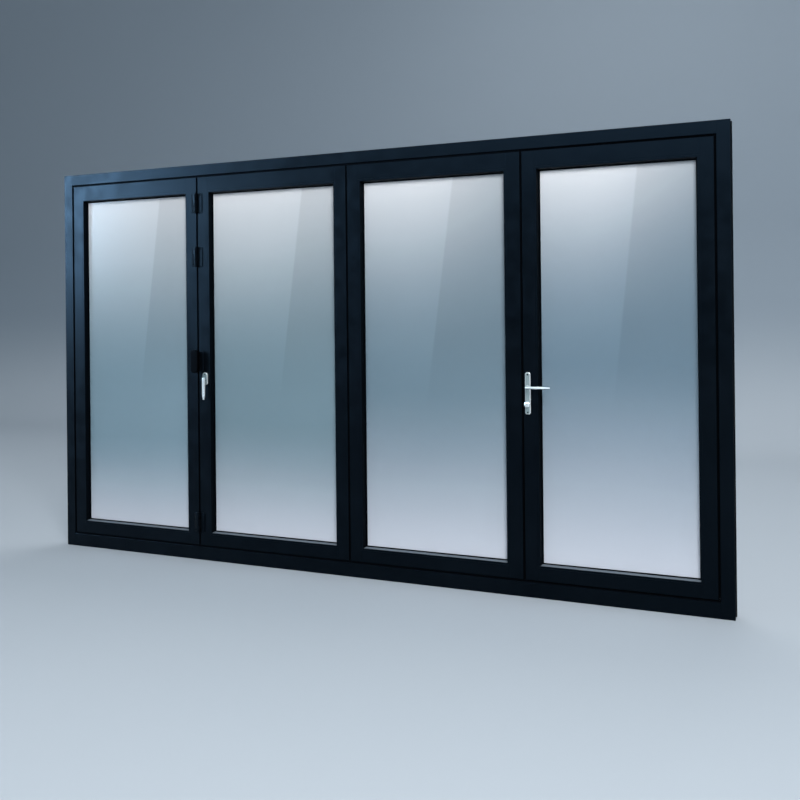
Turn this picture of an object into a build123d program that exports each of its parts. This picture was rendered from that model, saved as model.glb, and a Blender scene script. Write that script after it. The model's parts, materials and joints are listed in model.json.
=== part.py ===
from build123d import *
from math import radians, tan
import os

# Four-leaf folding patio door in a fixed frame. X runs to the right seen from the room, Y runs
# outwards and Z up. The origin is on the underside of the sill, at the middle of its width and depth.
# Leaves 1 to 3 fold to the left, and leaf 4 is the access door, hinged on the right jamb.

os.makedirs("parts", exist_ok=True)

# Frame
frame_width = 3980.0
frame_height = 2300.0
frame_depth = 76.0
jamb_face = 62.0
head_face = 62.0
sill_face = 75.0
corner_radius = 1.0

# Leaves
running_gap = 12.0
end_leaf_width = 925.0
leaf_set_back = 1.0
stile_face = 65.0
lock_stile_face = 73.0
top_rail_face = 80.0
bottom_rail_face = 63.0

# Glazing
glass_thickness = 28.0
glass_edge_clearance = 4.0
gasket_thickness = 4.0
gasket_show = 6.0
outside_gasket_show = 1.0
glazing_leg = 6.0
bead_face = 11.0
bead_slope_angle = 4.5
bead_clearance = 0.3
bead_edge_chamfer = 1.5
mitre_gap = 0.4

# Grooves in the bars
hardware_groove_width = 16.0
hardware_groove_depth = 4.0
wall_recess_width = 40.0
wall_recess_depth = 6.0
track_slot_width = 24.0
head_slot_depth = 30.0
sill_slot_depth = 14.0
track_wall = 2.0
track_lip = 3.0
sill_fall = 6.0

# Fixing holes through the jambs
fixing_hole_radius = 4.1
outer_fixing_inset = 150.0
inner_fixing_spacing = 666.0

# Hinges
hinge_height = 112.0
hinge_plate_width = 24.0
hinge_plate_thickness = 5.0
barrel_radius = 9.0
barrel_stand_off = 1.0
plate_clearance = 1.5
hinge_corner_radius = 4.0
hinge_end_inset = 4.0
pin_radius = 4.0
pin_clearance = 0.05
knuckle_gap = 0.5
web_overlap = 1.0
outside_hinge_inset = 240.0
pull_height = 1156.0
fold_hinge_lift = 130.0
fold_hinge_drop = 150.0
fold_hinge_spacing = 313.0

# Carriage between leaves 2 and 3
carriage_arm_width = 18.0
carriage_arm_thickness = 5.0
carriage_clearance = 3.0
roller_radius = 8.0
roller_width = 10.0
roller_clearance = 1.0
stem_overlap = 1.0
carriage_stem_radius = 4.0

# Door handle
spindle_height = 1048.0
spindle_to_cylinder = 85.0
handle_inset = 22.0
plate_width = 28.0
plate_height = 210.0
plate_thickness = 8.0
plate_top_above_spindle = 74.0
plate_end_chamfer = 7.0
plate_bevel_rise = 3.0
plate_bevel_slope = 54.0
plate_screw_inset = 11.0
plate_screw_radius = 3.0
plate_screw_depth = 2.0
lever_length = 125.0
lever_root_radius = 6.5
lever_belly_radius = 7.8
lever_belly_place = 72.0
lever_tip_radius = 4.2
lever_reach = 36.0
lever_elbow_radius = 12.0
lever_tip_rounding = 2.6
lever_gap = 0.5
lever_collar_radius = 10.0
lever_collar_depth = 5.0
spindle_width = 8.0
spindle_bore_radius = 6.5
cylinder_barrel_radius = 8.5
cylinder_web_width = 10.0
cylinder_height = 33.0
cylinder_clearance = 0.2
cylinder_proud = 2.0
thumbturn_radius = 15.0
thumbturn_thickness = 10.0
thumbturn_neck = 3.0
thumbturn_neck_radius = 6.0
thumbturn_sides = 12
thumbturn_chamfer = 2.0

# Shootbolt handle on leaf 2
shootbolt_below_pull = 103.0
shootbolt_inset = 44.0
shootbolt_base_width = 32.0
shootbolt_base_height = 74.0
shootbolt_base_thickness = 10.0
blade_length = 120.0
blade_width = 18.0
blade_tip_width = 8.0
blade_thickness = 9.0
blade_neck_length = 7.0
blade_edge_radius = 2.0
blade_tip_radius = 3.5
blade_shoulder = 90.0
shootbolt_edge_radius = 2.5

# Strike plates on the edge of leaf 3, with a hole for each bolt of the lock
strike_width = 22.0
strike_height = 180.0
keep_height = 90.0
strike_thickness = 2.0
strike_corner_radius = 10.0
strike_hole_clearance = 2.0

# Lock faceplate on the edge of leaf 4, with its latch and deadbolt drawn in
faceplate_width = 20.0
faceplate_height = 1700.0
faceplate_thickness = 2.5
bolt_slot_clearance = 0.5
latch_width = 12.0
latch_height = 32.0
deadbolt_height = 22.0
hook_height = 46.0
hook_spacing = 1320.0

# Weather seals in the running gap, hollow, in two lines
seal_inset = 6.0
seal_depth = 8.0
seal_corner_radius = 2.5
seal_wall = 1.5
seal_door_clearance = 6.0
seal_end_gap = 1.0
seal_carriage_gap = 15.0

# Drainage slots through the outer face of the sill
drain_length = 30.0
drain_height = 5.0
drain_spacing = 620.0
drain_count = 6

# Pull on the middle hinge of the fold
pull_width = 52.0
pull_length = 134.0
pull_cap_depth = 13.0
pull_stem_width = 22.0
pull_stem_depth = 12.0
pull_stem_radius = 10.5
pull_seat = 5.0
pull_seat_gap = 0.3
pull_corner_radius = 18.0
pull_edge_radius = 5.0

# Sizes that follow
half_width = frame_width / 2
half_depth = frame_depth / 2
clear_width = frame_width - 2 * jamb_face
middle_leaf_width = (clear_width - 5 * running_gap - 2 * end_leaf_width) / 2
leaf_bottom = sill_face + running_gap
leaf_top = frame_height - head_face - running_gap
leaf_height = leaf_top - leaf_bottom
mid_height = frame_height / 2
leaf_face = half_depth - leaf_set_back
leaf_depth = 2 * leaf_face
glass_outside = leaf_face - glazing_leg - gasket_thickness
glass_inside = glass_outside - glass_thickness
bead_depth = leaf_face + glass_inside - gasket_thickness
barrel_offset = barrel_radius + barrel_stand_off

leaf_widths = (end_leaf_width, middle_leaf_width, middle_leaf_width, end_leaf_width)
leaf_lefts = []
edge = jamb_face + running_gap - half_width
for width in leaf_widths:
    leaf_lefts.append(edge)
    edge += width + running_gap
right_faces = (stile_face, stile_face, lock_stile_face, stile_face)
gap_centres = [left - running_gap / 2 for left in leaf_lefts] + [edge - running_gap / 2]
door_left = leaf_lefts[3]
fixing_heights = (
    outer_fixing_inset,
    mid_height - inner_fixing_spacing / 2,
    mid_height + inner_fixing_spacing / 2,
    frame_height - outer_fixing_inset,
)
outside_hinge_heights = (outside_hinge_inset, mid_height, frame_height - outside_hinge_inset)
upper_fold_hinge = leaf_top - fold_hinge_drop
fold_hinge_heights = (
    leaf_bottom + fold_hinge_lift,
    pull_height,
    upper_fold_hinge - fold_hinge_spacing,
    upper_fold_hinge,
)
lock_axis_x = door_left + handle_inset
cylinder_axis_z = spindle_height - spindle_to_cylinder


def save(piece, label):
    """Labels a finished piece and writes it."""
    piece.label = label
    export_step(piece, f"parts/{label}.step")


def cylinder_outline(clearance):
    """The keyhole outline of a profile cylinder, round at the top, with its axis at the origin."""
    Circle(cylinder_barrel_radius + clearance)
    web = cylinder_height - cylinder_barrel_radius
    web_width = cylinder_web_width + 2 * clearance
    with Locations((0, -(web + clearance - web_width / 2) / 2)):
        Rectangle(web_width, web + clearance - web_width / 2)
    with Locations((0, -(web + clearance - web_width / 2))):
        Circle(web_width / 2)


def make_jamb(side):
    """A jamb over the full height, on the left for side -1 and on the right for side 1."""
    middle = side * (half_width - jamb_face / 2)
    with BuildPart() as jamb:
        with BuildSketch(Plane.XY):
            with Locations((middle, 0)):
                Rectangle(jamb_face, frame_depth)
            fillet(vertices(), corner_radius)
            with Locations((side * (half_width - jamb_face + hardware_groove_depth / 2), 0)):
                Rectangle(hardware_groove_depth, hardware_groove_width, mode=Mode.SUBTRACT)
            with Locations((side * (half_width - wall_recess_depth / 2), 0)):
                Rectangle(wall_recess_depth, wall_recess_width, mode=Mode.SUBTRACT)
        extrude(amount=frame_height)
        with BuildSketch(Plane.YZ.offset(middle)):
            with Locations(*[(0, z) for z in fixing_heights]):
                Circle(fixing_hole_radius)
        extrude(amount=jamb_face / 2, both=True, mode=Mode.SUBTRACT)
    return jamb.part


save(make_jamb(-1), "left_jamb")
save(make_jamb(1), "right_jamb")

across = Plane.YZ.offset(-clear_width / 2)

with BuildPart() as head:
    with BuildSketch(across):
        with Locations((0, frame_height - head_face / 2)):
            Rectangle(frame_depth, head_face)
        fillet(vertices(), corner_radius)
        with Locations((0, frame_height - head_face + head_slot_depth / 2)):
            Rectangle(track_slot_width, head_slot_depth, mode=Mode.SUBTRACT)
        with Locations((0, frame_height - wall_recess_depth / 2)):
            Rectangle(wall_recess_width, wall_recess_depth, mode=Mode.SUBTRACT)
    extrude(amount=clear_width)
save(head.part, "head")

with BuildPart() as head_track:
    with BuildSketch(across):
        with Locations((0, frame_height - head_face + head_slot_depth / 2)):
            Rectangle(track_slot_width, head_slot_depth)
            Rectangle(track_slot_width - 2 * track_wall, head_slot_depth - 2 * track_wall, mode=Mode.SUBTRACT)
        with Locations((0, frame_height - head_face + track_wall / 2)):
            Rectangle(track_slot_width - 2 * track_wall - 2 * track_lip, track_wall, mode=Mode.SUBTRACT)
    extrude(amount=clear_width)
save(head_track.part, "head_track")

with BuildPart() as sill:
    with BuildSketch(across):
        with BuildLine():
            Polyline(
                (-half_depth, 0),
                (half_depth, 0),
                (half_depth, sill_face - sill_fall),
                (track_slot_width / 2, sill_face),
                (-half_depth, sill_face),
                close=True,
            )
        make_face()
        fillet(vertices().group_by(Axis.Y)[-1].sort_by(Axis.X)[0], corner_radius)
        with Locations((0, sill_face - sill_slot_depth / 2)):
            Rectangle(track_slot_width, sill_slot_depth, mode=Mode.SUBTRACT)
    extrude(amount=clear_width)
    with BuildSketch(Plane.XZ.offset(-half_depth)):
        with Locations((0, sill_face - sill_slot_depth + drain_height / 2)):
            with GridLocations(drain_spacing, drain_height, drain_count, 1):
                SlotOverall(drain_length, drain_height)
    extrude(amount=half_depth - track_slot_width / 2, mode=Mode.SUBTRACT)
save(sill.part, "sill")

with BuildPart() as sill_track:
    with BuildSketch(across):
        with Locations((0, sill_face - sill_slot_depth / 2)):
            Rectangle(track_slot_width, sill_slot_depth)
        with Locations((0, sill_face - (sill_slot_depth - track_wall) / 2)):
            Rectangle(track_slot_width - 2 * track_wall, sill_slot_depth - track_wall, mode=Mode.SUBTRACT)
    extrude(amount=clear_width)
save(sill_track.part, "sill_track")


def make_stile(edge_x, inward, face, lock=False):
    """An upright leaf bar with its outer edge at edge_x and its glazing rebate towards inward (1 or -1)."""
    with BuildPart() as bar:
        with BuildSketch(Plane.XY.offset(leaf_bottom)):
            with Locations((edge_x + inward * face / 2, 0)):
                Rectangle(face, leaf_depth)
            fillet(vertices(), corner_radius)
            with Locations((edge_x + inward * hardware_groove_depth / 2, 0)):
                Rectangle(hardware_groove_depth, hardware_groove_width, mode=Mode.SUBTRACT)
        extrude(amount=leaf_height)
        with BuildSketch(Plane.XY.offset(leaf_bottom + bottom_rail_face)):
            with Locations((edge_x + inward * (face + bead_face / 2), leaf_face - glazing_leg / 2)):
                Rectangle(bead_face, glazing_leg)
        extrude(amount=leaf_height - top_rail_face - bottom_rail_face)
        if lock:
            with BuildSketch(Plane.XZ.offset(-leaf_face)):
                with Locations((lock_axis_x, spindle_height)):
                    Circle(spindle_bore_radius)
                with Locations((lock_axis_x, cylinder_axis_z)):
                    cylinder_outline(cylinder_clearance)
            extrude(amount=leaf_depth, mode=Mode.SUBTRACT)
    return bar.part


def make_rails(left, right, opening_bottom, opening_top):
    """The two level bars between the stiles, each with its rebate towards the opening."""
    with BuildPart() as rails:
        for edge_z, inward, face in ((opening_bottom, 1, bottom_rail_face), (opening_top, -1, top_rail_face)):
            outer_z = edge_z - inward * face
            with BuildSketch(Plane.YZ.offset(left)):
                with Locations((0, edge_z - inward * face / 2)):
                    Rectangle(leaf_depth, face)
                with Locations((0, outer_z + inward * hardware_groove_depth / 2)):
                    Rectangle(hardware_groove_width, hardware_groove_depth, mode=Mode.SUBTRACT)
            extrude(amount=right - left)
            with BuildSketch(Plane.YZ.offset(left + bead_face)):
                with Locations((leaf_face - glazing_leg / 2, edge_z + inward * bead_face / 2)):
                    Rectangle(glazing_leg, bead_face)
            extrude(amount=right - left - 2 * bead_face)
    return rails.part


def make_gaskets(left, right, bottom, top):
    """The rubber seals on both faces of a glass unit, each a frame as thick as the gap it fills."""
    middle = ((left + right) / 2, (bottom + top) / 2)
    width = right - left - 2 * glass_edge_clearance
    height = top - bottom - 2 * glass_edge_clearance
    room_lip = bead_face + bead_depth * tan(radians(bead_slope_angle)) + gasket_show
    outside_lip = bead_face + outside_gasket_show
    with BuildPart() as gaskets:
        for face_y, lip in ((glass_inside - gasket_thickness, room_lip), (glass_outside, outside_lip)):
            with BuildSketch(Plane.XZ.offset(-face_y)):
                with Locations(middle):
                    Rectangle(width, height)
                    Rectangle(right - left - 2 * lip, top - bottom - 2 * lip, mode=Mode.SUBTRACT)
            extrude(amount=-gasket_thickness)
    return gaskets.part


def make_beads(left, right, bottom, top):
    """Four mitred glazing beads round an opening, sloping towards the glass."""
    middle = ((left + right) / 2, (bottom + top) / 2)
    room_side = Plane.XZ.offset(leaf_face)
    with BuildPart() as beads:
        with BuildSketch(room_side):
            with Locations(middle):
                Rectangle(right - left - 2 * bead_clearance, top - bottom - 2 * bead_clearance)
        extrude(amount=-bead_depth)
        with BuildSketch(room_side):
            with Locations(middle):
                Rectangle(right - left - 2 * bead_face, top - bottom - 2 * bead_face)
        extrude(amount=-bead_depth, taper=bead_slope_angle, mode=Mode.SUBTRACT)
        opening = edges().group_by(Axis.Y)[0].filter_by(
            lambda e: left + bead_face / 2 < e.center().X < right - bead_face / 2
            and bottom + bead_face / 2 < e.center().Z < top - bead_face / 2
        )
        chamfer(opening, bead_edge_chamfer)
        for x, z, turn in ((left, bottom, -45), (right, bottom, 45), (left, top, 45), (right, top, -45)):
            with Locations(Location((x, -leaf_face + bead_depth / 2, z), (0, turn, 0))):
                Box(4 * bead_face, 2 * bead_depth, mitre_gap, mode=Mode.SUBTRACT)
    return beads.part


def make_glass(left, right, bottom, top):
    """A sealed glass unit that reaches into the rebate on all four sides."""
    with BuildPart() as pane:
        with BuildSketch(Plane.XZ.offset(-glass_outside)):
            with Locations(((left + right) / 2, (bottom + top) / 2)):
                Rectangle(right - left - 2 * glass_edge_clearance, top - bottom - 2 * glass_edge_clearance)
        extrude(amount=glass_thickness)
    return pane.part


for number, (left, width, right_face) in enumerate(zip(leaf_lefts, leaf_widths, right_faces), start=1):
    right = left + width
    opening_left = left + stile_face
    opening_right = right - right_face
    opening_bottom = leaf_bottom + bottom_rail_face
    opening_top = leaf_top - top_rail_face
    opening = (opening_left, opening_right, opening_bottom, opening_top)
    save(make_stile(left, 1, stile_face, lock=number == 4), f"leaf_{number}_left_stile")
    save(make_stile(right, -1, right_face), f"leaf_{number}_right_stile")
    save(make_rails(*opening), f"leaf_{number}_rails")
    save(make_beads(*opening), f"leaf_{number}_glazing_beads")
    save(make_gaskets(*opening), f"leaf_{number}_gaskets")
    save(make_glass(*opening), f"leaf_{number}_glass_unit")


def hinge_half(axis_x, face, out, side, centre_z, knuckles, bored):
    """One half of a hinge: a plate flat on the face, and knuckles given as (bottom, top) round the axis."""
    axis_y = out * (half_depth + barrel_offset)
    start = centre_z - hinge_height / 2
    near = barrel_radius + plate_clearance
    web = near + web_overlap
    plate_y = out * (face + hinge_plate_thickness / 2)
    with BuildPart() as half:
        with BuildSketch(Plane.XY.offset(start)):
            with Locations((axis_x + side * (near + hinge_plate_width / 2), plate_y)):
                Rectangle(hinge_plate_width, hinge_plate_thickness)
        extrude(amount=hinge_height)
        far = half.edges().filter_by(Axis.Y).group_by(Axis.X)[-1 if side > 0 else 0]
        fillet(far, hinge_corner_radius)
        for bottom, top in knuckles:
            with BuildSketch(Plane.XY.offset(start + bottom)):
                with Locations((axis_x, axis_y)):
                    Circle(barrel_radius)
                with Locations((axis_x + side * web / 2, plate_y)):
                    Rectangle(web, hinge_plate_thickness)
                if bored:
                    with Locations((axis_x, axis_y)):
                        Circle(pin_radius + pin_clearance, mode=Mode.SUBTRACT)
            extrude(amount=top - bottom)
        if not bored:
            with BuildSketch(Plane.XY.offset(start)):
                with Locations((axis_x, axis_y)):
                    Circle(pin_radius)
            extrude(amount=hinge_height)
    return half.part


def hinge_row(axis_x, out, heights, sides):
    """Hinge halves along one joint; sides gives (side, face, carrying), and a carrying half has the pin."""
    third = hinge_height / 3
    outer_knuckles = ((0, third), (2 * third, hinge_height))
    middle_knuckle = ((third + knuckle_gap, 2 * third - knuckle_gap),)
    with BuildPart() as row:
        for z in heights:
            for side, face, carrying in sides:
                knuckles = outer_knuckles if carrying else middle_knuckle
                add(hinge_half(axis_x, face, out, side, z, knuckles, bored=not carrying))
    return row.part


carriage_hinge_heights = (
    leaf_bottom + hinge_end_inset + hinge_height / 2,
    outside_hinge_heights[1],
    leaf_top - hinge_end_inset - hinge_height / 2,
)
jamb_line = ((-1, half_depth, True), (1, leaf_face, False))
leaf_line = ((-1, leaf_face, True), (1, leaf_face, False))
save(hinge_row(gap_centres[0], 1, outside_hinge_heights, jamb_line), "left_jamb_hinges")
save(hinge_row(gap_centres[1], -1, fold_hinge_heights, leaf_line), "fold_hinges_leaf_1_to_2")
save(hinge_row(gap_centres[2], 1, carriage_hinge_heights, leaf_line), "fold_hinges_leaf_2_to_3")
save(hinge_row(gap_centres[4], 1, outside_hinge_heights, ((1, half_depth, True),)), "door_hinges_on_jamb")
save(hinge_row(gap_centres[4], 1, outside_hinge_heights, ((-1, leaf_face, False),)), "door_hinges_on_leaf")


def make_carriage(up):
    """A bracket from the end of the 2-3 hinge line to a roller in the track, at the top for up 1."""
    axis_y = half_depth + barrel_offset
    leaf_end = leaf_top if up > 0 else leaf_bottom
    hinge_end = leaf_end - up * hinge_end_inset
    arm_start = leaf_end + up * carriage_clearance
    with BuildPart() as carriage:
        with BuildSketch(Plane.XY.offset(hinge_end)):
            with Locations((gap_centres[2], axis_y)):
                Circle(barrel_radius)
        extrude(amount=arm_start - hinge_end + up * carriage_arm_thickness)
        with BuildSketch(Plane.XY.offset(arm_start)):
            with Locations((gap_centres[2], axis_y / 2)):
                SlotCenterToCenter(axis_y, carriage_arm_width, rotation=90)
        extrude(amount=up * carriage_arm_thickness)
        roller_start = frame_height - head_face + track_wall if up > 0 else sill_face
        roller_start += up * roller_clearance
        with BuildSketch(Plane.XY.offset(arm_start)):
            with Locations((gap_centres[2], 0)):
                Circle(carriage_stem_radius)
        extrude(amount=roller_start - arm_start + up * stem_overlap)
        with BuildSketch(Plane.XY.offset(roller_start)):
            with Locations((gap_centres[2], 0)):
                Circle(roller_radius)
        extrude(amount=up * roller_width)
    return carriage.part


with BuildPart() as guide_carriages:
    add(make_carriage(1))
    add(make_carriage(-1))
save(guide_carriages.part, "guide_carriages")

pull_start = half_depth + barrel_offset + barrel_radius
with BuildPart() as pull_grip:
    with BuildSketch(Plane.XZ.offset(pull_start - pull_seat)):
        with Locations((gap_centres[1], pull_height)):
            RectangleRounded(pull_stem_width, hinge_height, pull_stem_radius)
    extrude(amount=pull_stem_depth + pull_seat)
    with BuildSketch(Plane.XZ.offset(pull_start + pull_stem_depth)):
        with Locations((gap_centres[1], pull_height)):
            RectangleRounded(pull_width, pull_length, pull_corner_radius)
    extrude(amount=pull_cap_depth)
    fillet(pull_grip.edges().group_by(Axis.Y)[0], pull_edge_radius)
    with BuildSketch(Plane.XY.offset(pull_height - hinge_height)):
        with Locations((gap_centres[1], -(half_depth + barrel_offset))):
            Circle(barrel_radius + pull_seat_gap)
    extrude(amount=2 * hinge_height, mode=Mode.SUBTRACT)
save(pull_grip.part, "pull_grip")


def make_backplate(out):
    """A door backplate, on the room side for out -1 and outside for out 1."""
    surface = Plane.XZ.offset(-out * leaf_face)
    middle_z = spindle_height + plate_top_above_spindle - plate_height / 2
    screws = [(lock_axis_x, middle_z + s * (plate_height / 2 - plate_screw_inset)) for s in (-1, 1)]
    with BuildPart() as plate:
        with BuildSketch(surface):
            with Locations((lock_axis_x, middle_z)):
                Rectangle(plate_width, plate_height)
            chamfer(vertices(), plate_end_chamfer)
        extrude(amount=-out * (plate_thickness - plate_bevel_rise))
        outer_face = plate.faces().sort_by(Axis.Y)[0 if out < 0 else -1]
        extrude(outer_face, amount=plate_bevel_rise, taper=plate_bevel_slope)
        with BuildSketch(surface):
            with Locations((lock_axis_x, spindle_height)):
                Circle(spindle_bore_radius)
            with Locations((lock_axis_x, cylinder_axis_z)):
                cylinder_outline(cylinder_clearance)
        extrude(amount=-out * plate_thickness, mode=Mode.SUBTRACT)
        with BuildSketch(surface.offset(-out * plate_thickness)):
            with Locations(*screws):
                Circle(plate_screw_radius)
        extrude(amount=out * plate_screw_depth, mode=Mode.SUBTRACT)
    return plate.part


save(make_backplate(-1), "inner_backplate")
save(make_backplate(1), "outer_backplate")

with BuildPart() as lock_cylinder:
    with BuildSketch(Plane.XZ.offset(-(leaf_face + plate_thickness + cylinder_proud))):
        with Locations((lock_axis_x, cylinder_axis_z)):
            cylinder_outline(0)
    extrude(amount=2 * (leaf_face + plate_thickness + cylinder_proud))
save(lock_cylinder.part, "lock_cylinder")


def make_lever(out, spindle=False):
    """A lever with a turned neck and a tapered grip that points right, with the square bar if asked for."""
    neck_start = leaf_face + plate_thickness + lever_gap
    grip_y = out * (neck_start + lever_reach)
    bend_end = lock_axis_x + 2 * lever_elbow_radius
    with BuildPart() as lever:
        with BuildSketch(Plane.XZ.offset(-out * neck_start)):
            with Locations((lock_axis_x, spindle_height)):
                Circle(lever_collar_radius)
        extrude(amount=-out * lever_collar_depth)
        with BuildSketch(Plane.XZ.offset(-out * neck_start)):
            with Locations((lock_axis_x, spindle_height)):
                Circle(lever_root_radius)
        with BuildLine():
            FilletPolyline(
                (lock_axis_x, out * neck_start, spindle_height),
                (lock_axis_x, grip_y, spindle_height),
                (bend_end, grip_y, spindle_height),
                radius=lever_elbow_radius,
            )
        sweep()
        for x, radius in (
            (bend_end, lever_root_radius),
            (lock_axis_x + lever_belly_place, lever_belly_radius),
            (lock_axis_x + lever_length, lever_tip_radius),
        ):
            with BuildSketch(Plane.YZ.offset(x)):
                with Locations((grip_y, spindle_height)):
                    Circle(radius)
        loft()
        tip = lever.faces().sort_by(Axis.X)[-1]
        fillet(tip.edges(), lever_tip_rounding)
        if spindle:
            with BuildSketch(Plane.XZ.offset(neck_start)):
                with Locations((lock_axis_x, spindle_height)):
                    Rectangle(spindle_width, spindle_width)
            extrude(amount=-2 * neck_start)
    return lever.part


save(make_lever(-1, spindle=True), "inner_lever")
save(make_lever(1), "outer_lever")

knob_start = leaf_face + plate_thickness + cylinder_proud + lever_gap
with BuildPart() as thumbturn:
    with BuildSketch(Plane.XZ.offset(knob_start)):
        with Locations((lock_axis_x, cylinder_axis_z)):
            Circle(thumbturn_neck_radius)
    extrude(amount=thumbturn_neck)
    with BuildSketch(Plane.XZ.offset(knob_start + thumbturn_neck)):
        with Locations((lock_axis_x, cylinder_axis_z)):
            RegularPolygon(thumbturn_radius, thumbturn_sides)
    extrude(amount=thumbturn_thickness)
    chamfer(thumbturn.edges().group_by(Axis.Y)[0], thumbturn_chamfer)
save(thumbturn.part, "thumbturn")

bolt_x = leaf_lefts[1] + shootbolt_inset
shootbolt_height = pull_height - shootbolt_below_pull
with BuildPart() as shootbolt_base:
    with BuildSketch(Plane.XZ.offset(leaf_face)):
        with Locations((bolt_x, shootbolt_height)):
            SlotOverall(shootbolt_base_height, shootbolt_base_width, rotation=90)
    extrude(amount=shootbolt_base_thickness)
    fillet(shootbolt_base.edges().group_by(Axis.Y)[0], shootbolt_edge_radius)
save(shootbolt_base.part, "shootbolt_base")

blade_start = leaf_face + shootbolt_base_thickness + lever_gap
with BuildPart() as shootbolt_handle:
    with BuildSketch(Plane.XZ.offset(blade_start)):
        with Locations((bolt_x, shootbolt_height)):
            Circle(blade_width / 2)
    extrude(amount=blade_neck_length)
    blade_origin = (bolt_x, -blade_start - blade_neck_length, shootbolt_height)
    with BuildSketch(Plane(blade_origin, x_dir=(1, 0, 0), z_dir=(0, -1, 0))):
        Circle(blade_width / 2)
        with BuildLine():
            Polyline(
                (blade_width / 2, 0),
                (blade_width / 2, -blade_shoulder),
                (blade_tip_width / 2, -blade_length),
                (-blade_tip_width / 2, -blade_length),
                (-blade_width / 2, -blade_shoulder),
                (-blade_width / 2, 0),
                close=True,
            )
        make_face()
        fillet(vertices().group_by(Axis.Y)[0], blade_tip_radius)
    extrude(amount=blade_thickness)
    fillet(shootbolt_handle.faces().sort_by(Axis.Y)[0].edges(), blade_edge_radius)
save(shootbolt_handle.part, "shootbolt_handle")

hook_heights = (mid_height - hook_spacing / 2, mid_height + hook_spacing / 2)
bolt_slots = (
    (spindle_height, latch_height),
    (cylinder_axis_z, deadbolt_height),
    (hook_heights[0], hook_height),
    (hook_heights[1], hook_height),
)
strikes = ((spindle_height - spindle_to_cylinder / 2, strike_height),) + tuple((z, keep_height) for z in hook_heights)
lock_edge = leaf_lefts[2] + leaf_widths[2]
with BuildPart() as strike_plate:
    with BuildSketch(Plane.YZ.offset(lock_edge)):
        for z, height in strikes:
            with Locations((0, z)):
                RectangleRounded(strike_width, height, strike_corner_radius)
        for z, height in bolt_slots:
            with Locations((0, z)):
                Rectangle(
                    latch_width + 2 * strike_hole_clearance, height + 2 * strike_hole_clearance, mode=Mode.SUBTRACT
                )
    extrude(amount=strike_thickness)
save(strike_plate.part, "strike_plate")

with BuildPart() as lock_faceplate:
    with BuildSketch(Plane.YZ.offset(door_left - faceplate_thickness)):
        with Locations((0, mid_height)):
            SlotOverall(faceplate_height, faceplate_width, rotation=90)
        for z, height in bolt_slots:
            with Locations((0, z)):
                Rectangle(latch_width, height, mode=Mode.SUBTRACT)
    extrude(amount=faceplate_thickness)
    with BuildSketch(Plane.YZ.offset(door_left + bolt_slot_clearance - faceplate_thickness)):
        for z, height in bolt_slots:
            with Locations((0, z)):
                Rectangle(latch_width - 2 * bolt_slot_clearance, height - 2 * bolt_slot_clearance)
    extrude(amount=faceplate_thickness - bolt_slot_clearance + hardware_groove_depth)
save(lock_faceplate.part, "lock_faceplate")


def make_seal(start, centre, sides, length):
    """One hollow seal with its section on the start plane, centred on a point of that plane."""
    with BuildPart() as seal:
        with BuildSketch(start):
            with Locations(centre):
                Rectangle(*sides)
                fillet(vertices(), seal_corner_radius)
            with Locations(centre):
                Rectangle(*[side - 2 * seal_wall for side in sides], mode=Mode.SUBTRACT)
        extrude(amount=length)
    return seal.part


seal_line = leaf_face - seal_inset - seal_depth / 2
jamb_inside = half_width - jamb_face
head_underside = frame_height - head_face
door_seal = running_gap - seal_door_clearance
uprights = [(x, running_gap) for x in gap_centres[:3]] + [(jamb_inside - door_seal / 2, door_seal)]
folding_span = (-jamb_inside, lock_edge, running_gap)
door_span = (lock_edge + seal_end_gap, jamb_inside, door_seal)
left_of_carriage = (-jamb_inside, -seal_carriage_gap, running_gap)
right_of_carriage = (seal_carriage_gap, lock_edge, running_gap)

with BuildPart() as weather_seals:
    for y, upright_runs in ((-seal_line, uprights + [(lock_edge + door_seal / 2, door_seal)]), (seal_line, uprights)):
        for x, thickness in upright_runs:
            start = Plane.XY.offset(leaf_bottom + seal_end_gap)
            add(make_seal(start, (x, y), (thickness, seal_depth), leaf_height - 2 * seal_end_gap))
    for y, spans in (
        (-seal_line, (folding_span, door_span)),
        (seal_line, (left_of_carriage, right_of_carriage, door_span)),
    ):
        for left, right, thickness in spans:
            centre = (y, head_underside - thickness / 2)
            add(make_seal(Plane.YZ.offset(left), centre, (seal_depth, thickness), right - left))
    for left, right, thickness in (folding_span, door_span):
        centre = (-seal_line, sill_face + thickness / 2)
        add(make_seal(Plane.YZ.offset(left), centre, (seal_depth, thickness), right - left))
save(weather_seals.part, "weather_seals")
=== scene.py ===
"""Dresses a four-leaf folding glass door: finishes, glass units, seals, fasteners and a plain studio."""

import json
import logging
import math
from dataclasses import dataclass
from enum import Enum
from typing import Any

import bmesh
import bpy
from mathutils import Matrix, Vector

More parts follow.
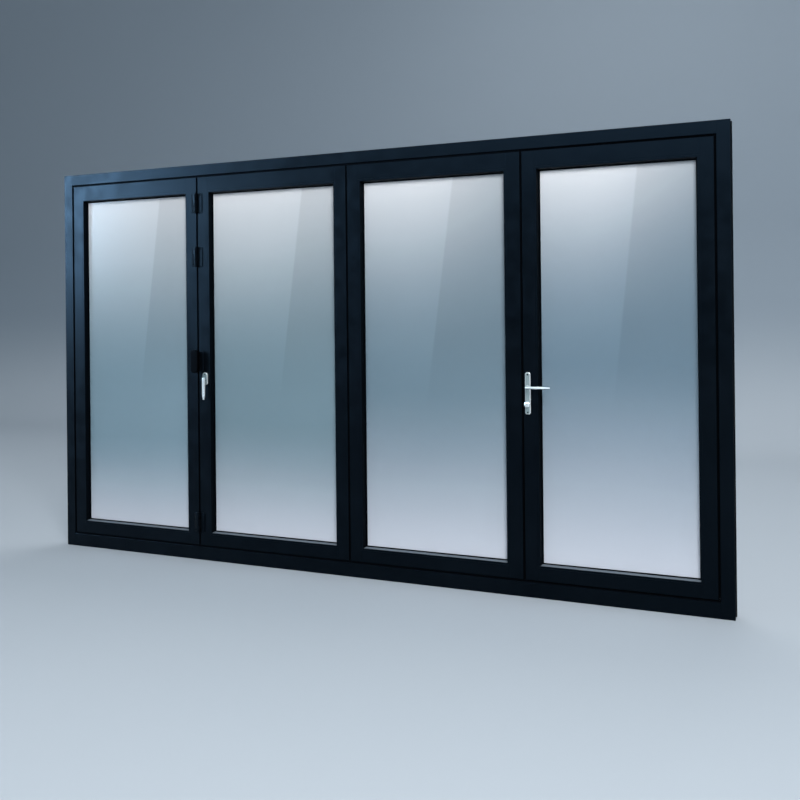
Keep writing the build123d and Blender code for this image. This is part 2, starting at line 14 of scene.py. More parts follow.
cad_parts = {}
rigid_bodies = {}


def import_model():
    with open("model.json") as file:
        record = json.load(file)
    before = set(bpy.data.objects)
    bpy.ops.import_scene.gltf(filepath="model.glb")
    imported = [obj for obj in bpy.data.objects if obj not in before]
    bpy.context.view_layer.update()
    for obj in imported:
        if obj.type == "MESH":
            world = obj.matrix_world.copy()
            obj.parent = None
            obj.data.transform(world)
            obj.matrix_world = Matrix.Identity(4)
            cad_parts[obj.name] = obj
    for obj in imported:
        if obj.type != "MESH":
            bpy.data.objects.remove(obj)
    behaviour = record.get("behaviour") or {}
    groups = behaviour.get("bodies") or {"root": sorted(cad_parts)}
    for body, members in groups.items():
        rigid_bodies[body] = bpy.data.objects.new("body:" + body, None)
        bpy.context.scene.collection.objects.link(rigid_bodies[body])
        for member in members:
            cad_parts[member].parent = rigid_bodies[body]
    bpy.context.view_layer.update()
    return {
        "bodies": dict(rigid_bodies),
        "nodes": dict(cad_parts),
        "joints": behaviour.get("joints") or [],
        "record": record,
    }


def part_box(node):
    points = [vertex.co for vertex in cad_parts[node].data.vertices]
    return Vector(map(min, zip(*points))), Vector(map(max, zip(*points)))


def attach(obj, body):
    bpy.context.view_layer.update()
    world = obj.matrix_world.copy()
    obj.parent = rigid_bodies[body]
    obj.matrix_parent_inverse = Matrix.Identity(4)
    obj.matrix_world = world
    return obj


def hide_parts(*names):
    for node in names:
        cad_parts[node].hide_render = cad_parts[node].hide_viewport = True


log = logging.getLogger("folding_door")

Point = tuple[float, float, float]
Span = tuple[float, float]
Spot = tuple[Point, Point]
Colour = tuple[float, float, float, float]

WHOLE: Span = (0.0, 1.0)
COOL_CAST: Colour = (0.42, 0.70, 1.0, 1.0)
GLASS_IOR = 1.5


class Slot(Enum):
    """The record's material slots."""

    FRAME = "frame_coating"
    HINGE = "hinge_coating"
    GLASS = "glass"
    HANDLE = "handle_metal"
    TRACK = "track_metal"
    STEEL = "steel"
    RUBBER = "rubber"


class Rides(Enum):
    """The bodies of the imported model."""

    FRAME = "frame_and_folding_leaves"
    DOOR = "access_door"
    LEVERS = "levers"
    THUMBTURN = "thumbturn"
    BOLT = "shootbolt_handle"


class Channel:
    """A shader socket whose arithmetic adds Math nodes to its tree."""

    def __init__(self, recipe: "Recipe", socket: bpy.types.NodeSocket | None) -> None:
        """Keeps the socket, None for a node that ends a tree, and the recipe that it belongs to."""
        self.recipe = recipe
        self.socket = socket

    def _math(self, operation: str, first: Any, second: Any) -> "Channel":
        """Adds one Math node.

        Args:
            operation: the node's operation.
            first: the first value, a number or a channel.
            second: the second value, a number or a channel.

        Returns:
            The node's result.
        """
        return self.recipe.add("ShaderNodeMath", {"operation": operation}, {0: first, 1: second})

    def __add__(self, other: Any) -> "Channel":
        """Sum."""
        return self._math("ADD", self, other)

    def __radd__(self, other: Any) -> "Channel":
        """Sum with the channel on the right."""
        return self._math("ADD", other, self)

    def __sub__(self, other: Any) -> "Channel":
        """Difference."""
        return self._math("SUBTRACT", self, other)

    def __rsub__(self, other: Any) -> "Channel":
        """Difference with the channel on the right."""
        return self._math("SUBTRACT", other, self)

    def __mul__(self, other: Any) -> "Channel":
        """Product."""
        return self._math("MULTIPLY", self, other)

    def __rmul__(self, other: Any) -> "Channel":
        """Product with the channel on the right."""
        return self._math("MULTIPLY", other, self)

    def __truediv__(self, other: Any) -> "Channel":
        """Quotient."""
        return self._math("DIVIDE", self, other)

    def __pow__(self, other: Any) -> "Channel":
        """Power."""
        return self._math("POWER", self, other)

    def sized(self) -> "Channel":
        """Size without its sign."""
        return self._math("ABSOLUTE", self, 0.0)

    def cosine(self) -> "Channel":
        """Cosine of an angle in radians."""
        return self._math("COSINE", self, 0.0)

    def turn_to(self, other: Any) -> "Channel":
        """Angle of the point that has this as its height and the other as its reach."""
        return self._math("ARCTAN2", self, other)

    def also(self, name: str) -> "Channel":
        """Another output of the same node."""
        return Channel(self.recipe, self.recipe.find(self.socket.node.outputs, name))


class Recipe:
    """A node tree, built by plain calls."""

    def __init__(self, tree: bpy.types.NodeTree) -> None:
        """Clears the tree and keeps it."""
        self.tree = tree
        tree.nodes.clear()

    def add(self, kind: str, settings: dict[str, Any] | None = None,
            inputs: dict[Any, Any] | None = None, output: int | str = 0) -> Channel:
        """Adds a node.

        Args:
            kind: the node's type.
            settings: the node's own settings, set first.
            inputs: values or channels by socket name or number.
            output: the name or number of the output that is wanted.

        Returns:
            That output as a channel.
        """
        node = self.tree.nodes.new(kind)
        for name, value in (settings or {}).items():
            setattr(node, name, value)
        for key, value in (inputs or {}).items():
            self.feed(self.find(node.inputs, key), value)
        return Channel(self, self.find(node.outputs, output) if node.outputs else None)

    def find(self, sockets: Any, key: int | str) -> bpy.types.NodeSocket:
        """Finds one socket of a node.

        Args:
            sockets: the node's inputs or outputs.
            key: the socket's number, or its name, which then means the one in use.

        Returns:
            The socket.
        """
        if isinstance(key, int):
            return sockets[key]
        return next(socket for socket in sockets if socket.name == key and socket.enabled)

    def feed(self, socket: bpy.types.NodeSocket, value: Any) -> None:
        """Fills a socket.

        Args:
            socket: the socket.
            value: the value that it is set to, or the channel that is linked to it.
        """
        if isinstance(value, Channel):
            self.tree.links.new(value.socket, socket)
        else:
            socket.default_value = value

    def place(self) -> Channel:
        """The point in the object's own coordinates, in metres."""
        return self.add("ShaderNodeTexCoord", output="Object")

    def facing(self) -> Channel:
        """The way that the surface faces, in the object's own coordinates."""
        return self.add("ShaderNodeTexCoord", output="Normal")

    def axis(self, point: Channel, name: str) -> Channel:
        """One coordinate of a point, by its letter."""
        return self.add("ShaderNodeSeparateXYZ", inputs={0: point}, output=name)

    def noise(self, point: Channel, scale: float, detail: float, roughness: float = 0.5) -> Channel:
        """Smooth noise from 0 to 1 with that many cycles in a metre."""
        return self.add("ShaderNodeTexNoise", inputs={
            "Vector": point, "Scale": scale, "Detail": detail, "Roughness": roughness})

    def stretch(self, point: Channel, scale: Point) -> Channel:
        """The point scaled along each axis."""
        return self.add("ShaderNodeMapping", inputs={"Vector": point, "Scale": scale})

    def remap(self, value: Channel, span: Span, result: Span = WHOLE, smooth: bool = True) -> Channel:
        """A value moved from one range to another, held at the ends.

        Args:
            value: the channel.
            span: where it starts and ends.
            result: what it becomes there.
            smooth: True for an eased change.

        Returns:
            The result.
        """
        kind = "SMOOTHSTEP" if smooth else "LINEAR"
        return self.add("ShaderNodeMapRange", {"interpolation_type": kind}, {
            "Value": value, "From Min": span[0], "From Max": span[1],
            "To Min": result[0], "To Max": result[1]})

    def blend(self, factor: Any, first: Any, second: Any) -> Channel:
        """A colour between two colours."""
        return self.add("ShaderNodeMix", {"data_type": "RGBA"}, {
            "Factor": factor, "A": first, "B": second}, output="Result")

    def bump(self, height: Channel, depth: float, strength: float) -> Channel:
        """A normal from a height from 0 to 1 that stands for that depth in metres."""
        return self.add("ShaderNodeBump", inputs={
            "Height": height, "Distance": depth, "Strength": strength})

    def finish(self, inputs: dict[str, Any]) -> None:
        """Ends a material in one Principled shader with those inputs."""
        shader = self.add("ShaderNodeBsdfPrincipled", inputs=inputs)
        self.add("ShaderNodeOutputMaterial", inputs={"Surface": shader})


class Finish:
    """A surface finish that makes its material once."""

    name: str

    def material(self) -> bpy.types.Material:
        """The finish's material, made at its first use.

        Returns:
            The material.
        """
        found = bpy.data.materials.get(self.name)
        if found is None:
            found = bpy.data.materials.new(self.name)
            found.use_nodes = True
            self.mix(Recipe(found.node_tree))
        return found

    def mix(self, recipe: Recipe) -> None:
        """Fills the material's tree.

        Args:
            recipe: the tree to fill.
        """
        raise NotImplementedError


@dataclass(frozen=True)
class PowderCoat(Finish):
    """Satin polyester powder coat with a fine orange peel, more matt and with painted shade on sideways
    faces, and a painted highlight on upward faces.
    """

    name: str = "near_black_powder_coat"
    deep: Colour = (0.0007, 0.0012, 0.0020, 1.0)
    worn: Colour = (0.0015, 0.0024, 0.0036, 1.0)
    # Painted highlight on upward faces; the usual coat gives it the worn tone.
    painted_top_highlight: Colour = (0.0015, 0.0024, 0.0036, 1.0)
    # Painted shade for the faces that look sideways, which stand in the gaps between bars and leaves.
    edge: Colour = (0.0002, 0.0004, 0.0007, 1.0)
    cast: Colour = COOL_CAST
    gloss: float = 0.10
    roughness: Span = (0.29, 0.41)
    side_roughness: float = 0.45
    cloud_scale: float = 2.3
    cloud_share: float = 0.75
    sparkle_scale: float = 1900.0
    sparkle_share: float = 0.25
    tone_span: Span = (0.35, 0.70)
    dust_scale: float = 14.0
    dust_span: Span = (0.30, 0.75)
    painted_top_span: Span = (0.85, 0.97)
    sideways_span: Span = (0.25, 0.65)
    peel_scale: float = 420.0
    peel_depth: float = 0.00005
    peel_strength: float = 0.6

    def mix(self, recipe: Recipe) -> None:
        """Fills the tree: slow tone changes, a fine sparkle, painted shade on sideways faces, a painted
        highlight on upward faces and the orange peel's bump.

        Args:
            recipe: the tree to fill.
        """
        point, way = recipe.place(), recipe.facing()
        clouds = recipe.noise(point, self.cloud_scale, detail=3.0)
        sparkle = recipe.noise(point, self.sparkle_scale, detail=1.0)
        tone = recipe.remap(clouds * self.cloud_share + sparkle * self.sparkle_share, self.tone_span)
        peel = recipe.noise(point, self.peel_scale, detail=2.0, roughness=0.55)
        dust = recipe.noise(point, self.dust_scale, detail=4.0)
        # Upward faces take the painted highlight.
        upward = recipe.remap(recipe.axis(way, "Z"), self.painted_top_span)
        sideways = recipe.remap(recipe.axis(way, "X").sized(), self.sideways_span)
        # Sideways faces take the painted shade colour.
        face = recipe.blend(sideways, recipe.blend(tone, self.deep, self.worn), self.edge)
        matt = recipe.remap(dust, self.dust_span, self.roughness)
        recipe.finish({
            "Base Color": recipe.blend(upward, face, self.painted_top_highlight),
            "Roughness": matt + sideways * self.side_roughness,
            "Specular IOR Level": self.gloss,
            "Specular Tint": self.cast,
            "Normal": recipe.bump(peel, self.peel_depth, self.peel_strength),
        })


@dataclass(frozen=True)
class HardwareBlack(Finish):
    """Deep black coat of the hinges, the pull and their screws, rubbed a little where it is handled."""

    name: str = "black_hardware_coat"
    deep: Colour = (0.0005, 0.0005, 0.0007, 1.0)
    rubbed: Colour = (0.0020, 0.0022, 0.0028, 1.0)
    cast: Colour = (0.60, 0.78, 1.0, 1.0)
    gloss: float = 0.025
    roughness: float = 0.42
    polish: float = 0.12
    rub_scale: float = 24.0
    rub_span: Span = (0.55, 0.85)
    rub_share: float = 0.7
    grain_scale: float = 950.0
    grain_share: float = 0.12
    grain_depth: float = 0.00004
    grain_strength: float = 0.5

    def mix(self, recipe: Recipe) -> None:
        """Fills the tree: rubbed patches, fine cast grain and a shallow bump.

        Args:
            recipe: the tree to fill.
        """
        point = recipe.place()
        rub = recipe.remap(recipe.noise(point, self.rub_scale, detail=4.0, roughness=0.6), self.rub_span)
        grain = recipe.noise(point, self.grain_scale, detail=2.0)
        wear = rub * self.rub_share + grain * self.grain_share
        recipe.finish({
            "Base Color": recipe.blend(wear, self.deep, self.rubbed),
            "Roughness": recipe.remap(rub, WHOLE, (self.roughness, self.roughness - self.polish)),
            "Specular IOR Level": self.gloss,
            "Specular Tint": self.cast,
            "Normal": recipe.bump(grain, self.grain_depth, self.grain_strength),
        })


@dataclass(frozen=True)
class HingeCoat(Finish):
    """Hinge with a deep black barrel between plates coated like the bars, whose sideways edges carry a
    painted sheen that is lighter higher up.
    """

    name: str
    axis_x: float
    barrel: Colour = (0.0005, 0.0005, 0.0007, 1.0)
    plate: Colour = (0.0012, 0.0020, 0.0031, 1.0)
    # Painted sheen on the plates' sideways edges, lighter higher on the door.
    low_painted_sheen: Colour = (0.0022, 0.0040, 0.0062, 1.0)
    high_painted_sheen: Colour = (0.0150, 0.0270, 0.0430, 1.0)
    cast: Colour = COOL_CAST
    gloss: float = 0.09
    half_barrel: float = 0.0136
    barrel_fade: float = 0.0012
    level_span: Span = (0.80, 0.97)
    painted_sheen_heights: Span = (0.4, 2.1)
    barrel_roughness: Span = (0.86, 0.96)
    plate_polish: float = 0.54
    rub_scale: float = 30.0
    rub_span: Span = (0.3, 0.8)
    grain_scale: float = 800.0
    grain_depth: float = 0.00005
    grain_strength: float = 0.5

    def mix(self, recipe: Recipe) -> None:
        """Fills the tree: black within the barrel, the coat beyond it with a painted sheen on the plates'
        sideways edges, and a fine grain on both.

        Args:
            recipe: the tree to fill.
        """
        point = recipe.place()
        away = (recipe.axis(point, "X") - self.axis_x).sized()
        on_plate = recipe.remap(away, (self.half_barrel, self.half_barrel + self.barrel_fade))
        level = recipe.remap(recipe.axis(recipe.facing(), "Y").sized(), self.level_span)
        sheen_rise = recipe.remap(recipe.axis(point, "Z"), self.painted_sheen_heights)
        # Sideways plate edges take the painted sheen in place of the plate colour.
        rim = recipe.blend(sheen_rise, self.low_painted_sheen, self.high_painted_sheen)
        grain = recipe.noise(point, self.grain_scale, detail=2.0)
        rub = recipe.noise(point, self.rub_scale, detail=4.0)
        matt = recipe.remap(rub, self.rub_span, self.barrel_roughness)
        recipe.finish({
            "Base Color": recipe.blend(on_plate, self.barrel, recipe.blend(level, rim, self.plate)),
            "Roughness": matt - on_plate * self.plate_polish,
            "Specular IOR Level": self.gloss,
            "Specular Tint": self.cast,
            "Normal": recipe.bump(grain, self.grain_depth, self.grain_strength),
        })


@dataclass(frozen=True)
class SatinChrome(Finish):
    """Satin chrome with a fine upright brush, faint finger marks, painted shade on its underside and, where a
    copy sets it, painted shade on its flat faces.
    """

    name: str = "satin_chrome"
    bright: Colour = (0.88, 0.93, 0.94, 1.0)
    dull: Colour = (0.70, 0.77, 0.78, 1.0)
    # Painted shade on faces that look along Y; the same as bright unless a copy darkens it.
    painted_flat_shade: Colour = (0.88, 0.93, 0.94, 1.0)
    # Painted shade on faces that look downwards.
    under: Colour = (0.035, 0.045, 0.050, 1.0)
    metal: float = 0.55
    roughness: Span = (0.20, 0.34)
    mark_stretch: Point = (1.0, 1.0, 0.5)
    mark_scale: float = 70.0
    mark_span: Span = (0.45, 0.85)
    mark_share: float = 0.7
    brush_stretch: Point = (1.0, 1.0, 0.03)
    brush_scale: float = 1400.0
    brush_share: float = 0.25
    brush_depth: float = 0.00001
    brush_strength: float = 0.3
    level_span: Span = (0.86, 0.98)
    underside_shade_span: Span = (-0.35, -0.80)

    def mix(self, recipe: Recipe) -> None:
        """Fills the tree: painted shade by the way the surface faces, brush lines and finger marks.

        Args:
            recipe: the tree to fill.
        """
        point, way = recipe.place(), recipe.facing()
        touched = recipe.stretch(point, self.mark_stretch)
        prints = recipe.noise(touched, self.mark_scale, detail=4.0, roughness=0.6)
        marks = recipe.remap(prints, self.mark_span)
        drawn = recipe.stretch(point, self.brush_stretch)
        brush = recipe.noise(drawn, self.brush_scale, detail=2.0, roughness=0.6)
        # Faces that look along Y take the painted flat shade.
        level = recipe.remap(recipe.axis(way, "Y").sized(), self.level_span)
        # Downward faces take the painted underside shade.
        below = recipe.remap(recipe.axis(way, "Z"), self.underside_shade_span)
        body = recipe.blend(marks * self.mark_share + brush * self.brush_share, self.bright, self.dull)
        recipe.finish({
            "Base Color": recipe.blend(below, recipe.blend(level, body, self.painted_flat_shade), self.under),
            "Metallic": self.metal,
            "Roughness": recipe.remap(marks, WHOLE, self.roughness),
            "Normal": recipe.bump(brush, self.brush_depth, self.brush_strength),
        })


@dataclass(frozen=True)
class ZincSteel(Finish):
    """Bright zinc-plated steel with its soft crystal mottle."""

    name: str = "zinc_plated_steel"
    bright: Colour = (0.50, 0.52, 0.54, 1.0)
    dull: Colour = (0.30, 0.32, 0.34, 1.0)
    roughness: Span = (0.26, 0.48)
    crystal_scale: float = 260.0
    crystal_share: float = 0.5
    crystal_matt: float = 0.3
    crystal_depth: float = 0.00001
    crystal_strength: float = 0.4
    dust_scale: float = 30.0
    dust_share: float = 0.4
    dust_span: Span = (0.3, 1.0)

    def mix(self, recipe: Recipe) -> None:
        """Fills the tree: crystals of several tones, and dust that dulls them.

        Args:
            recipe: the tree to fill.
        """
        point = recipe.place()
        crystals = recipe.add("ShaderNodeTexVoronoi", {"feature": "F1"}, {
            "Vector": point, "Scale": self.crystal_scale}, output="Color")
        mottle = recipe.axis(crystals, "X")
        dust = recipe.noise(point, self.dust_scale, detail=4.0)
        tone = mottle * self.crystal_share + dust * self.dust_share
        recipe.finish({
            "Base Color": recipe.blend(tone, self.bright, self.dull),
            "Metallic": 1.0,
            "Roughness": recipe.remap(dust + mottle * self.crystal_matt, self.dust_span, self.roughness),
            "Normal": recipe.bump(mottle, self.crystal_depth, self.crystal_strength),
        })


@dataclass(frozen=True)
class PileFibre(Finish):
    """Black polypropylene pile, paler in some tufts."""

    name: str = "black_pile_fibre"
    deep: Colour = (0.004, 0.004, 0.005, 1.0)
    tip: Colour = (0.022, 0.022, 0.025, 1.0)
    gloss: float = 0.2
    roughness: Span = (0.75, 0.90)
    tuft_scale: float = 700.0
    tuft_span: Span = (0.3, 0.8)

    def mix(self, recipe: Recipe) -> None:
        """Fills the tree: tufts of slightly different tones.

        Args:
            recipe: the tree to fill.
        """
        tufts = recipe.noise(recipe.place(), self.tuft_scale, detail=2.0)
        recipe.finish({
            "Base Color": recipe.blend(recipe.remap(tufts, self.tuft_span), self.deep, self.tip),
            "Roughness": recipe.remap(tufts, self.tuft_span, self.roughness),
            "Specular IOR Level": self.gloss,
        })


@dataclass(frozen=True)
class DrawnAluminium(Finish):
    """Satin anodised aluminium with fine lines along its length."""

    name: str = "satin_aluminium"
    along: Point = (0.01, 1.0, 1.0)
    bright: Colour = (0.56, 0.58, 0.60, 1.0)
    dull: Colour = (0.36, 0.38, 0.40, 1.0)
    roughness: Span = (0.28, 0.46)
    line_scale: float = 1600.0
    line_share: float = 0.6
    line_depth: float = 0.00002
    line_strength: float = 0.4
    soil_scale: float = 35.0
    soil_share: float = 0.4
    soil_span: Span = (0.30, 0.75)

    def mix(self, recipe: Recipe) -> None:
        """Fills the tree: drawn lines in the colour, roughness and bump.

        Args:
            recipe: the tree to fill.
        """
        point = recipe.place()
        lines = recipe.noise(recipe.stretch(point, self.along), self.line_scale, detail=2.0, roughness=0.6)
        soil = recipe.noise(point, self.soil_scale, detail=4.0)
        tone = recipe.remap(lines * self.line_share + soil * self.soil_share, self.soil_span)
        recipe.finish({
            "Base Color": recipe.blend(tone, self.bright, self.dull),
            "Metallic": 1.0,
            "Roughness": recipe.remap(soil, self.soil_span, self.roughness),
            "Normal": recipe.bump(lines, self.line_depth, self.line_strength),
        })


@dataclass(frozen=True)
class SealRubber(Finish):
    """Matt black extruded rubber."""

    name: str = "black_seal_rubber"
    deep: Colour = (0.0005, 0.0006, 0.0009, 1.0)
    dusty: Colour = (0.0022, 0.0025, 0.0032, 1.0)
    cast: Colour = (0.45, 0.70, 1.0, 1.0)
    gloss: float = 0.03
    roughness: Span = (0.60, 0.78)
    dust_scale: float = 45.0
    dusty_span: Span = (0.45, 0.80)
    matt_span: Span = (0.30, 0.80)
    pore_scale: float = 2400.0
    pore_depth: float = 0.00004
    pore_strength: float = 0.5

    def mix(self, recipe: Recipe) -> None:
        """Fills the tree: a little dust on matt rubber.

        Args:
            recipe: the tree to fill.
        """
        point = recipe.place()
        dust = recipe.noise(point, self.dust_scale, detail=5.0, roughness=0.6)
        pores = recipe.noise(point, self.pore_scale, detail=1.0)
        recipe.finish({
            "Base Color": recipe.blend(recipe.remap(dust, self.dusty_span), self.deep, self.dusty),
            "Roughness": recipe.remap(dust, self.matt_span, self.roughness),
            "Specular IOR Level": self.gloss,
            "Specular Tint": self.cast,
            "Normal": recipe.bump(pores, self.pore_depth, self.pore_strength),
        })


@dataclass(frozen=True)
class PaneTones:
    """How the painted reflection lies on one pane: its middle tone, its slanting edge and how fast it fades.
    """

    slate: Colour
    edge_head_x: float
    edge_foot_x: float
    head_power: float
    foot_rise: float
    fall: float


@dataclass(frozen=True)
class PaneGlass(Finish):
    """Blue-grey solar-control glass, see-through at mid height, with painted reflections that make it paler
    towards its head and foot.

    The least roughness and the middle alpha aren't lowered: with less of either, the denoiser drew
    lines into the painted reflections.
    """

    name: str
    tones: PaneTones
    head_z: float = 2.146
    foot_z: float = 0.150
    # Tones of the painted reflections at the head and the foot.
    head_reflection_tone: Colour = (0.80, 0.795, 0.805, 1.0)
    foot_reflection_tone: Colour = (0.64, 0.66, 0.72, 1.0)
    # Colour of the painted shade right of the slanting line.
    step_shade_tone: Colour = (0.0, 0.0, 0.0, 1.0)
    middle_alpha: float = 0.66
    pale_alpha: float = 0.93
    bare_alpha: float = 0.05
    gloss: float = 0.08
    roughness: Span = (0.085, 0.13)
    drift_scale: float = 0.9
    drift: float = 0.05
    head_span: Span = (0.43, 1.02)
    foot_power: float = 1.5
    step_span: Span = (-0.006, 0.008)
    step_heights: Span = (0.36, 0.62)
    step_shade_depth: float = 0.13
    fall_span: Span = (-0.25, 0.45)
    reflection_alpha_span: Span = (0.0, 0.45)
    room_side: Span = (-0.6, -0.9)
    smear_stretch: Point = (1.0, 1.0, 0.35)
    smear_scale: float = 9.0
    smear_span: Span = (0.40, 0.85)

    def mix(self, recipe: Recipe) -> None:
        """Fills the tree: two painted reflections that fade with height, and a slanting line that divides the
        upper one with a step of painted shade.

        Args:
            recipe: the tree to fill.
        """
        tones, height_of_glass = self.tones, self.head_z - self.foot_z
        point = recipe.place()
        x, z = recipe.axis(point, "X"), recipe.axis(point, "Z")
        drift = (recipe.noise(point, self.drift_scale, detail=1.0) - 0.5) * self.drift
        height = (z - self.foot_z) / height_of_glass + drift
        # The head and foot tones below are painted reflections that fade with height.
        rising = recipe.remap(height, self.head_span, smooth=False) ** tones.head_power
        slope = (tones.edge_head_x - tones.edge_foot_x) / height_of_glass
        line = x - (z - self.foot_z) * slope - tones.edge_foot_x
        # A step of painted shade right of the slanting line, on the upper part of the pane.
        shaded = recipe.remap(line, self.step_span) * recipe.remap(height, self.step_heights)
        painted_head_reflection = rising * (1.0 - recipe.remap(line, self.fall_span) * tones.fall)
        painted_foot_reflection = recipe.remap(height, (tones.foot_rise, 0.0), smooth=False) ** self.foot_power
        upper = recipe.blend(painted_head_reflection, tones.slate, self.head_reflection_tone)
        colour = recipe.blend(painted_foot_reflection, upper, self.foot_reflection_tone)
        smears = recipe.noise(recipe.stretch(point, self.smear_stretch), self.smear_scale, detail=4.0)
        # The painted reflections also make the room face less see-through.
        reflection_alpha = recipe.remap(painted_head_reflection + painted_foot_reflection, self.reflection_alpha_span,
                               (self.middle_alpha, self.pale_alpha), smooth=False)
        coated = recipe.remap(recipe.axis(recipe.facing(), "Y"), self.room_side)
        recipe.finish({
            "Base Color": recipe.blend(shaded * self.step_shade_depth, colour, self.step_shade_tone),
            "Roughness": recipe.remap(smears, self.smear_span, self.roughness),
            "Alpha": coated * (reflection_alpha - self.bare_alpha) + self.bare_alpha,
            "Specular IOR Level": self.gloss,
            "IOR": GLASS_IOR,
        })


@dataclass(frozen=True)
class ClearGlass(Finish):
    """Clear float glass with a faint green cast."""

    name: str = "clear_float_glass"
    tint: Colour = (0.32, 0.42, 0.44, 1.0)
    roughness: Span = (0.085, 0.12)
    alpha: Span = (0.04, 0.07)
    smear_stretch: Point = (1.0, 1.0, 0.4)
    smear_scale: float = 7.0
    matt_span: Span = (0.40, 0.85)
    dense_span: Span = (0.30, 0.90)

    def mix(self, recipe: Recipe) -> None:
        """Fills the tree: nearly clear, a little denser where it is smeared.

        Args:
            recipe: the tree to fill.
        """
        wiped = recipe.stretch(recipe.place(), self.smear_stretch)
        smears = recipe.noise(wiped, self.smear_scale, detail=4.0)
        recipe.finish({
            "Base Color": self.tint,
            "Roughness": recipe.remap(smears, self.matt_span, self.roughness),
            "Alpha": recipe.remap(smears, self.dense_span, self.alpha),
            "IOR": GLASS_IOR,
        })


@dataclass(frozen=True)
class StudioPaper(Finish):
    """The pale studio floor, which turns into a deeper blue-grey backdrop."""

    name: str = "studio_paper"
    tone: Colour = (0.53, 0.57, 0.61, 1.0)
    shade: Colour = (0.50, 0.545, 0.59, 1.0)
    backdrop: Colour = (0.29, 0.34, 0.39, 1.0)
    cloud_scale: float = 0.35
    rise: Span = (-0.2, 1.6)
    roughness: float = 0.85
    gloss: float = 0.15

    def mix(self, recipe: Recipe) -> None:
        """Fills the tree: a matt, nearly even paper.

        Args:
            recipe: the tree to fill.
        """
        point = recipe.place()
        clouds = recipe.noise(point, self.cloud_scale, detail=2.0)
        risen = recipe.remap(recipe.axis(point, "Z"), self.rise)
        recipe.finish({
            "Base Color": recipe.blend(risen, recipe.blend(clouds, self.tone, self.shade), self.backdrop),
            "Roughness": self.roughness,
            "Specular IOR Level": self.gloss,
        })


def linked(name: str, data: bpy.types.ID) -> bpy.types.Object:
    """Makes an object and links it to the scene.

    Args:
        name: the object's name.
        data: its mesh, lamp or camera.

    Returns:
        The new object.
    """
    made = bpy.data.objects.new(name, data)
    bpy.context.scene.collection.objects.link(made)
    return made


class Growth(Recipe):
    """A Geometry Nodes tree with named sizes, which grows plain meshes on points or paths."""

    def __init__(self, label: str, sizes: dict[str, float]) -> None:
        """Opens the tree.

        Args:
            label: the tree's name.
            sizes: its named inputs with their usual values.
        """
        super().__init__(bpy.data.node_groups.new(label, "GeometryNodeTree"))
        sockets = self.tree.interface
        sockets.new_socket("Geometry", in_out="OUTPUT", socket_type="NodeSocketGeometry")
        sockets.new_socket("Geometry", in_out="INPUT", socket_type="NodeSocketGeometry")
        for name, value in sizes.items():
            sockets.new_socket(name, in_out="INPUT", socket_type="NodeSocketFloat").default_value = value
        sockets.new_socket("Finish", in_out="INPUT", socket_type="NodeSocketMaterial")
        self.source = self.tree.nodes.new("NodeGroupInput")

    def given(self, name: str) -> Channel:
        """One of the tree's inputs."""
        return Channel(self, self.find(self.source.outputs, name))

    def close(self, geometry: Channel) -> None:
        """Ends the tree with real geometry in its material.

        Args:
            geometry: the grown geometry.
        """
        real = self.add("GeometryNodeRealizeInstances", inputs={"Geometry": geometry})
        dressed = self.add("GeometryNodeSetMaterial", inputs={
            "Geometry": real, "Material": self.given("Finish")})
        self.add("NodeGroupOutput", inputs={"Geometry": dressed})

    def grow(self, name: str, bed: bpy.types.Mesh, finish: Finish,
             sizes: dict[str, float] | None = None) -> bpy.types.Object:
        """Runs the tree on a bed and keeps the result as a plain mesh.

        Args:
            name: the new object's name.
            bed: the points or the path.
            finish: the finish of the result.
            sizes: inputs that differ from their usual values.

        Returns:
            The new object, without the modifier.
        """
        holder = linked("bed", bed)
        modifier = holder.modifiers.new("growth", "NODES")
        modifier.node_group = self.tree
        values = {**(sizes or {}), "Finish": finish.material()}
        for item in self.tree.interface.items_tree:
            if item.in_out == "INPUT" and item.name in values:
                modifier[item.identifier] = values[item.name]
        depsgraph = bpy.context.evaluated_depsgraph_get()
        data = bpy.data.meshes.new_from_object(holder.evaluated_get(depsgraph), depsgraph=depsgraph)
        bpy.data.objects.remove(holder)
        return linked(name, data)


def spots_bed(spots: list[Spot]) -> bpy.types.Mesh:
    """Makes a bed of loose points.

    Args:
        spots: each point with the way it faces.

    Returns:
        A mesh whose points carry that way in the attribute "facing".
    """
    data = bpy.data.meshes.new("spots")
    data.from_pydata([place for place, _ in spots], [], [])
    facing = data.attributes.new("facing", "FLOAT_VECTOR", "POINT")
    for item, (_, way) in zip(facing.data, spots):
        item.vector = way
    return data


def path_bed(paths: list[list[Point]], closed: bool) -> bpy.types.Mesh:
    """Makes a bed of paths.

    Args:
        paths: the points of each path.
        closed: True where each path ends at its start.

    Returns:
        A mesh of edges.
    """
    points, edges = [], []
    for path in paths:
        first = len(points)
        points += path
        edges += [(first + i, first + i + 1) for i in range(len(path) - 1)]
        if closed:
            edges.append((len(points) - 1, first))
    data = bpy.data.meshes.new("paths")
    data.from_pydata(points, edges, [])
    return data


def upright_loop(across: Span, up: Span, y: float) -> list[Point]:
    """The four corners of an upright rectangle, from its lower left corner round.

    Args:
        across: its left and right ends along X.
        up: its foot and head along Z.
        y: where it stands along Y.

    Returns:
        The corners.
    """
    return [(across[0], y, up[0]), (across[1], y, up[0]), (across[1], y, up[1]), (across[0], y, up[1])]


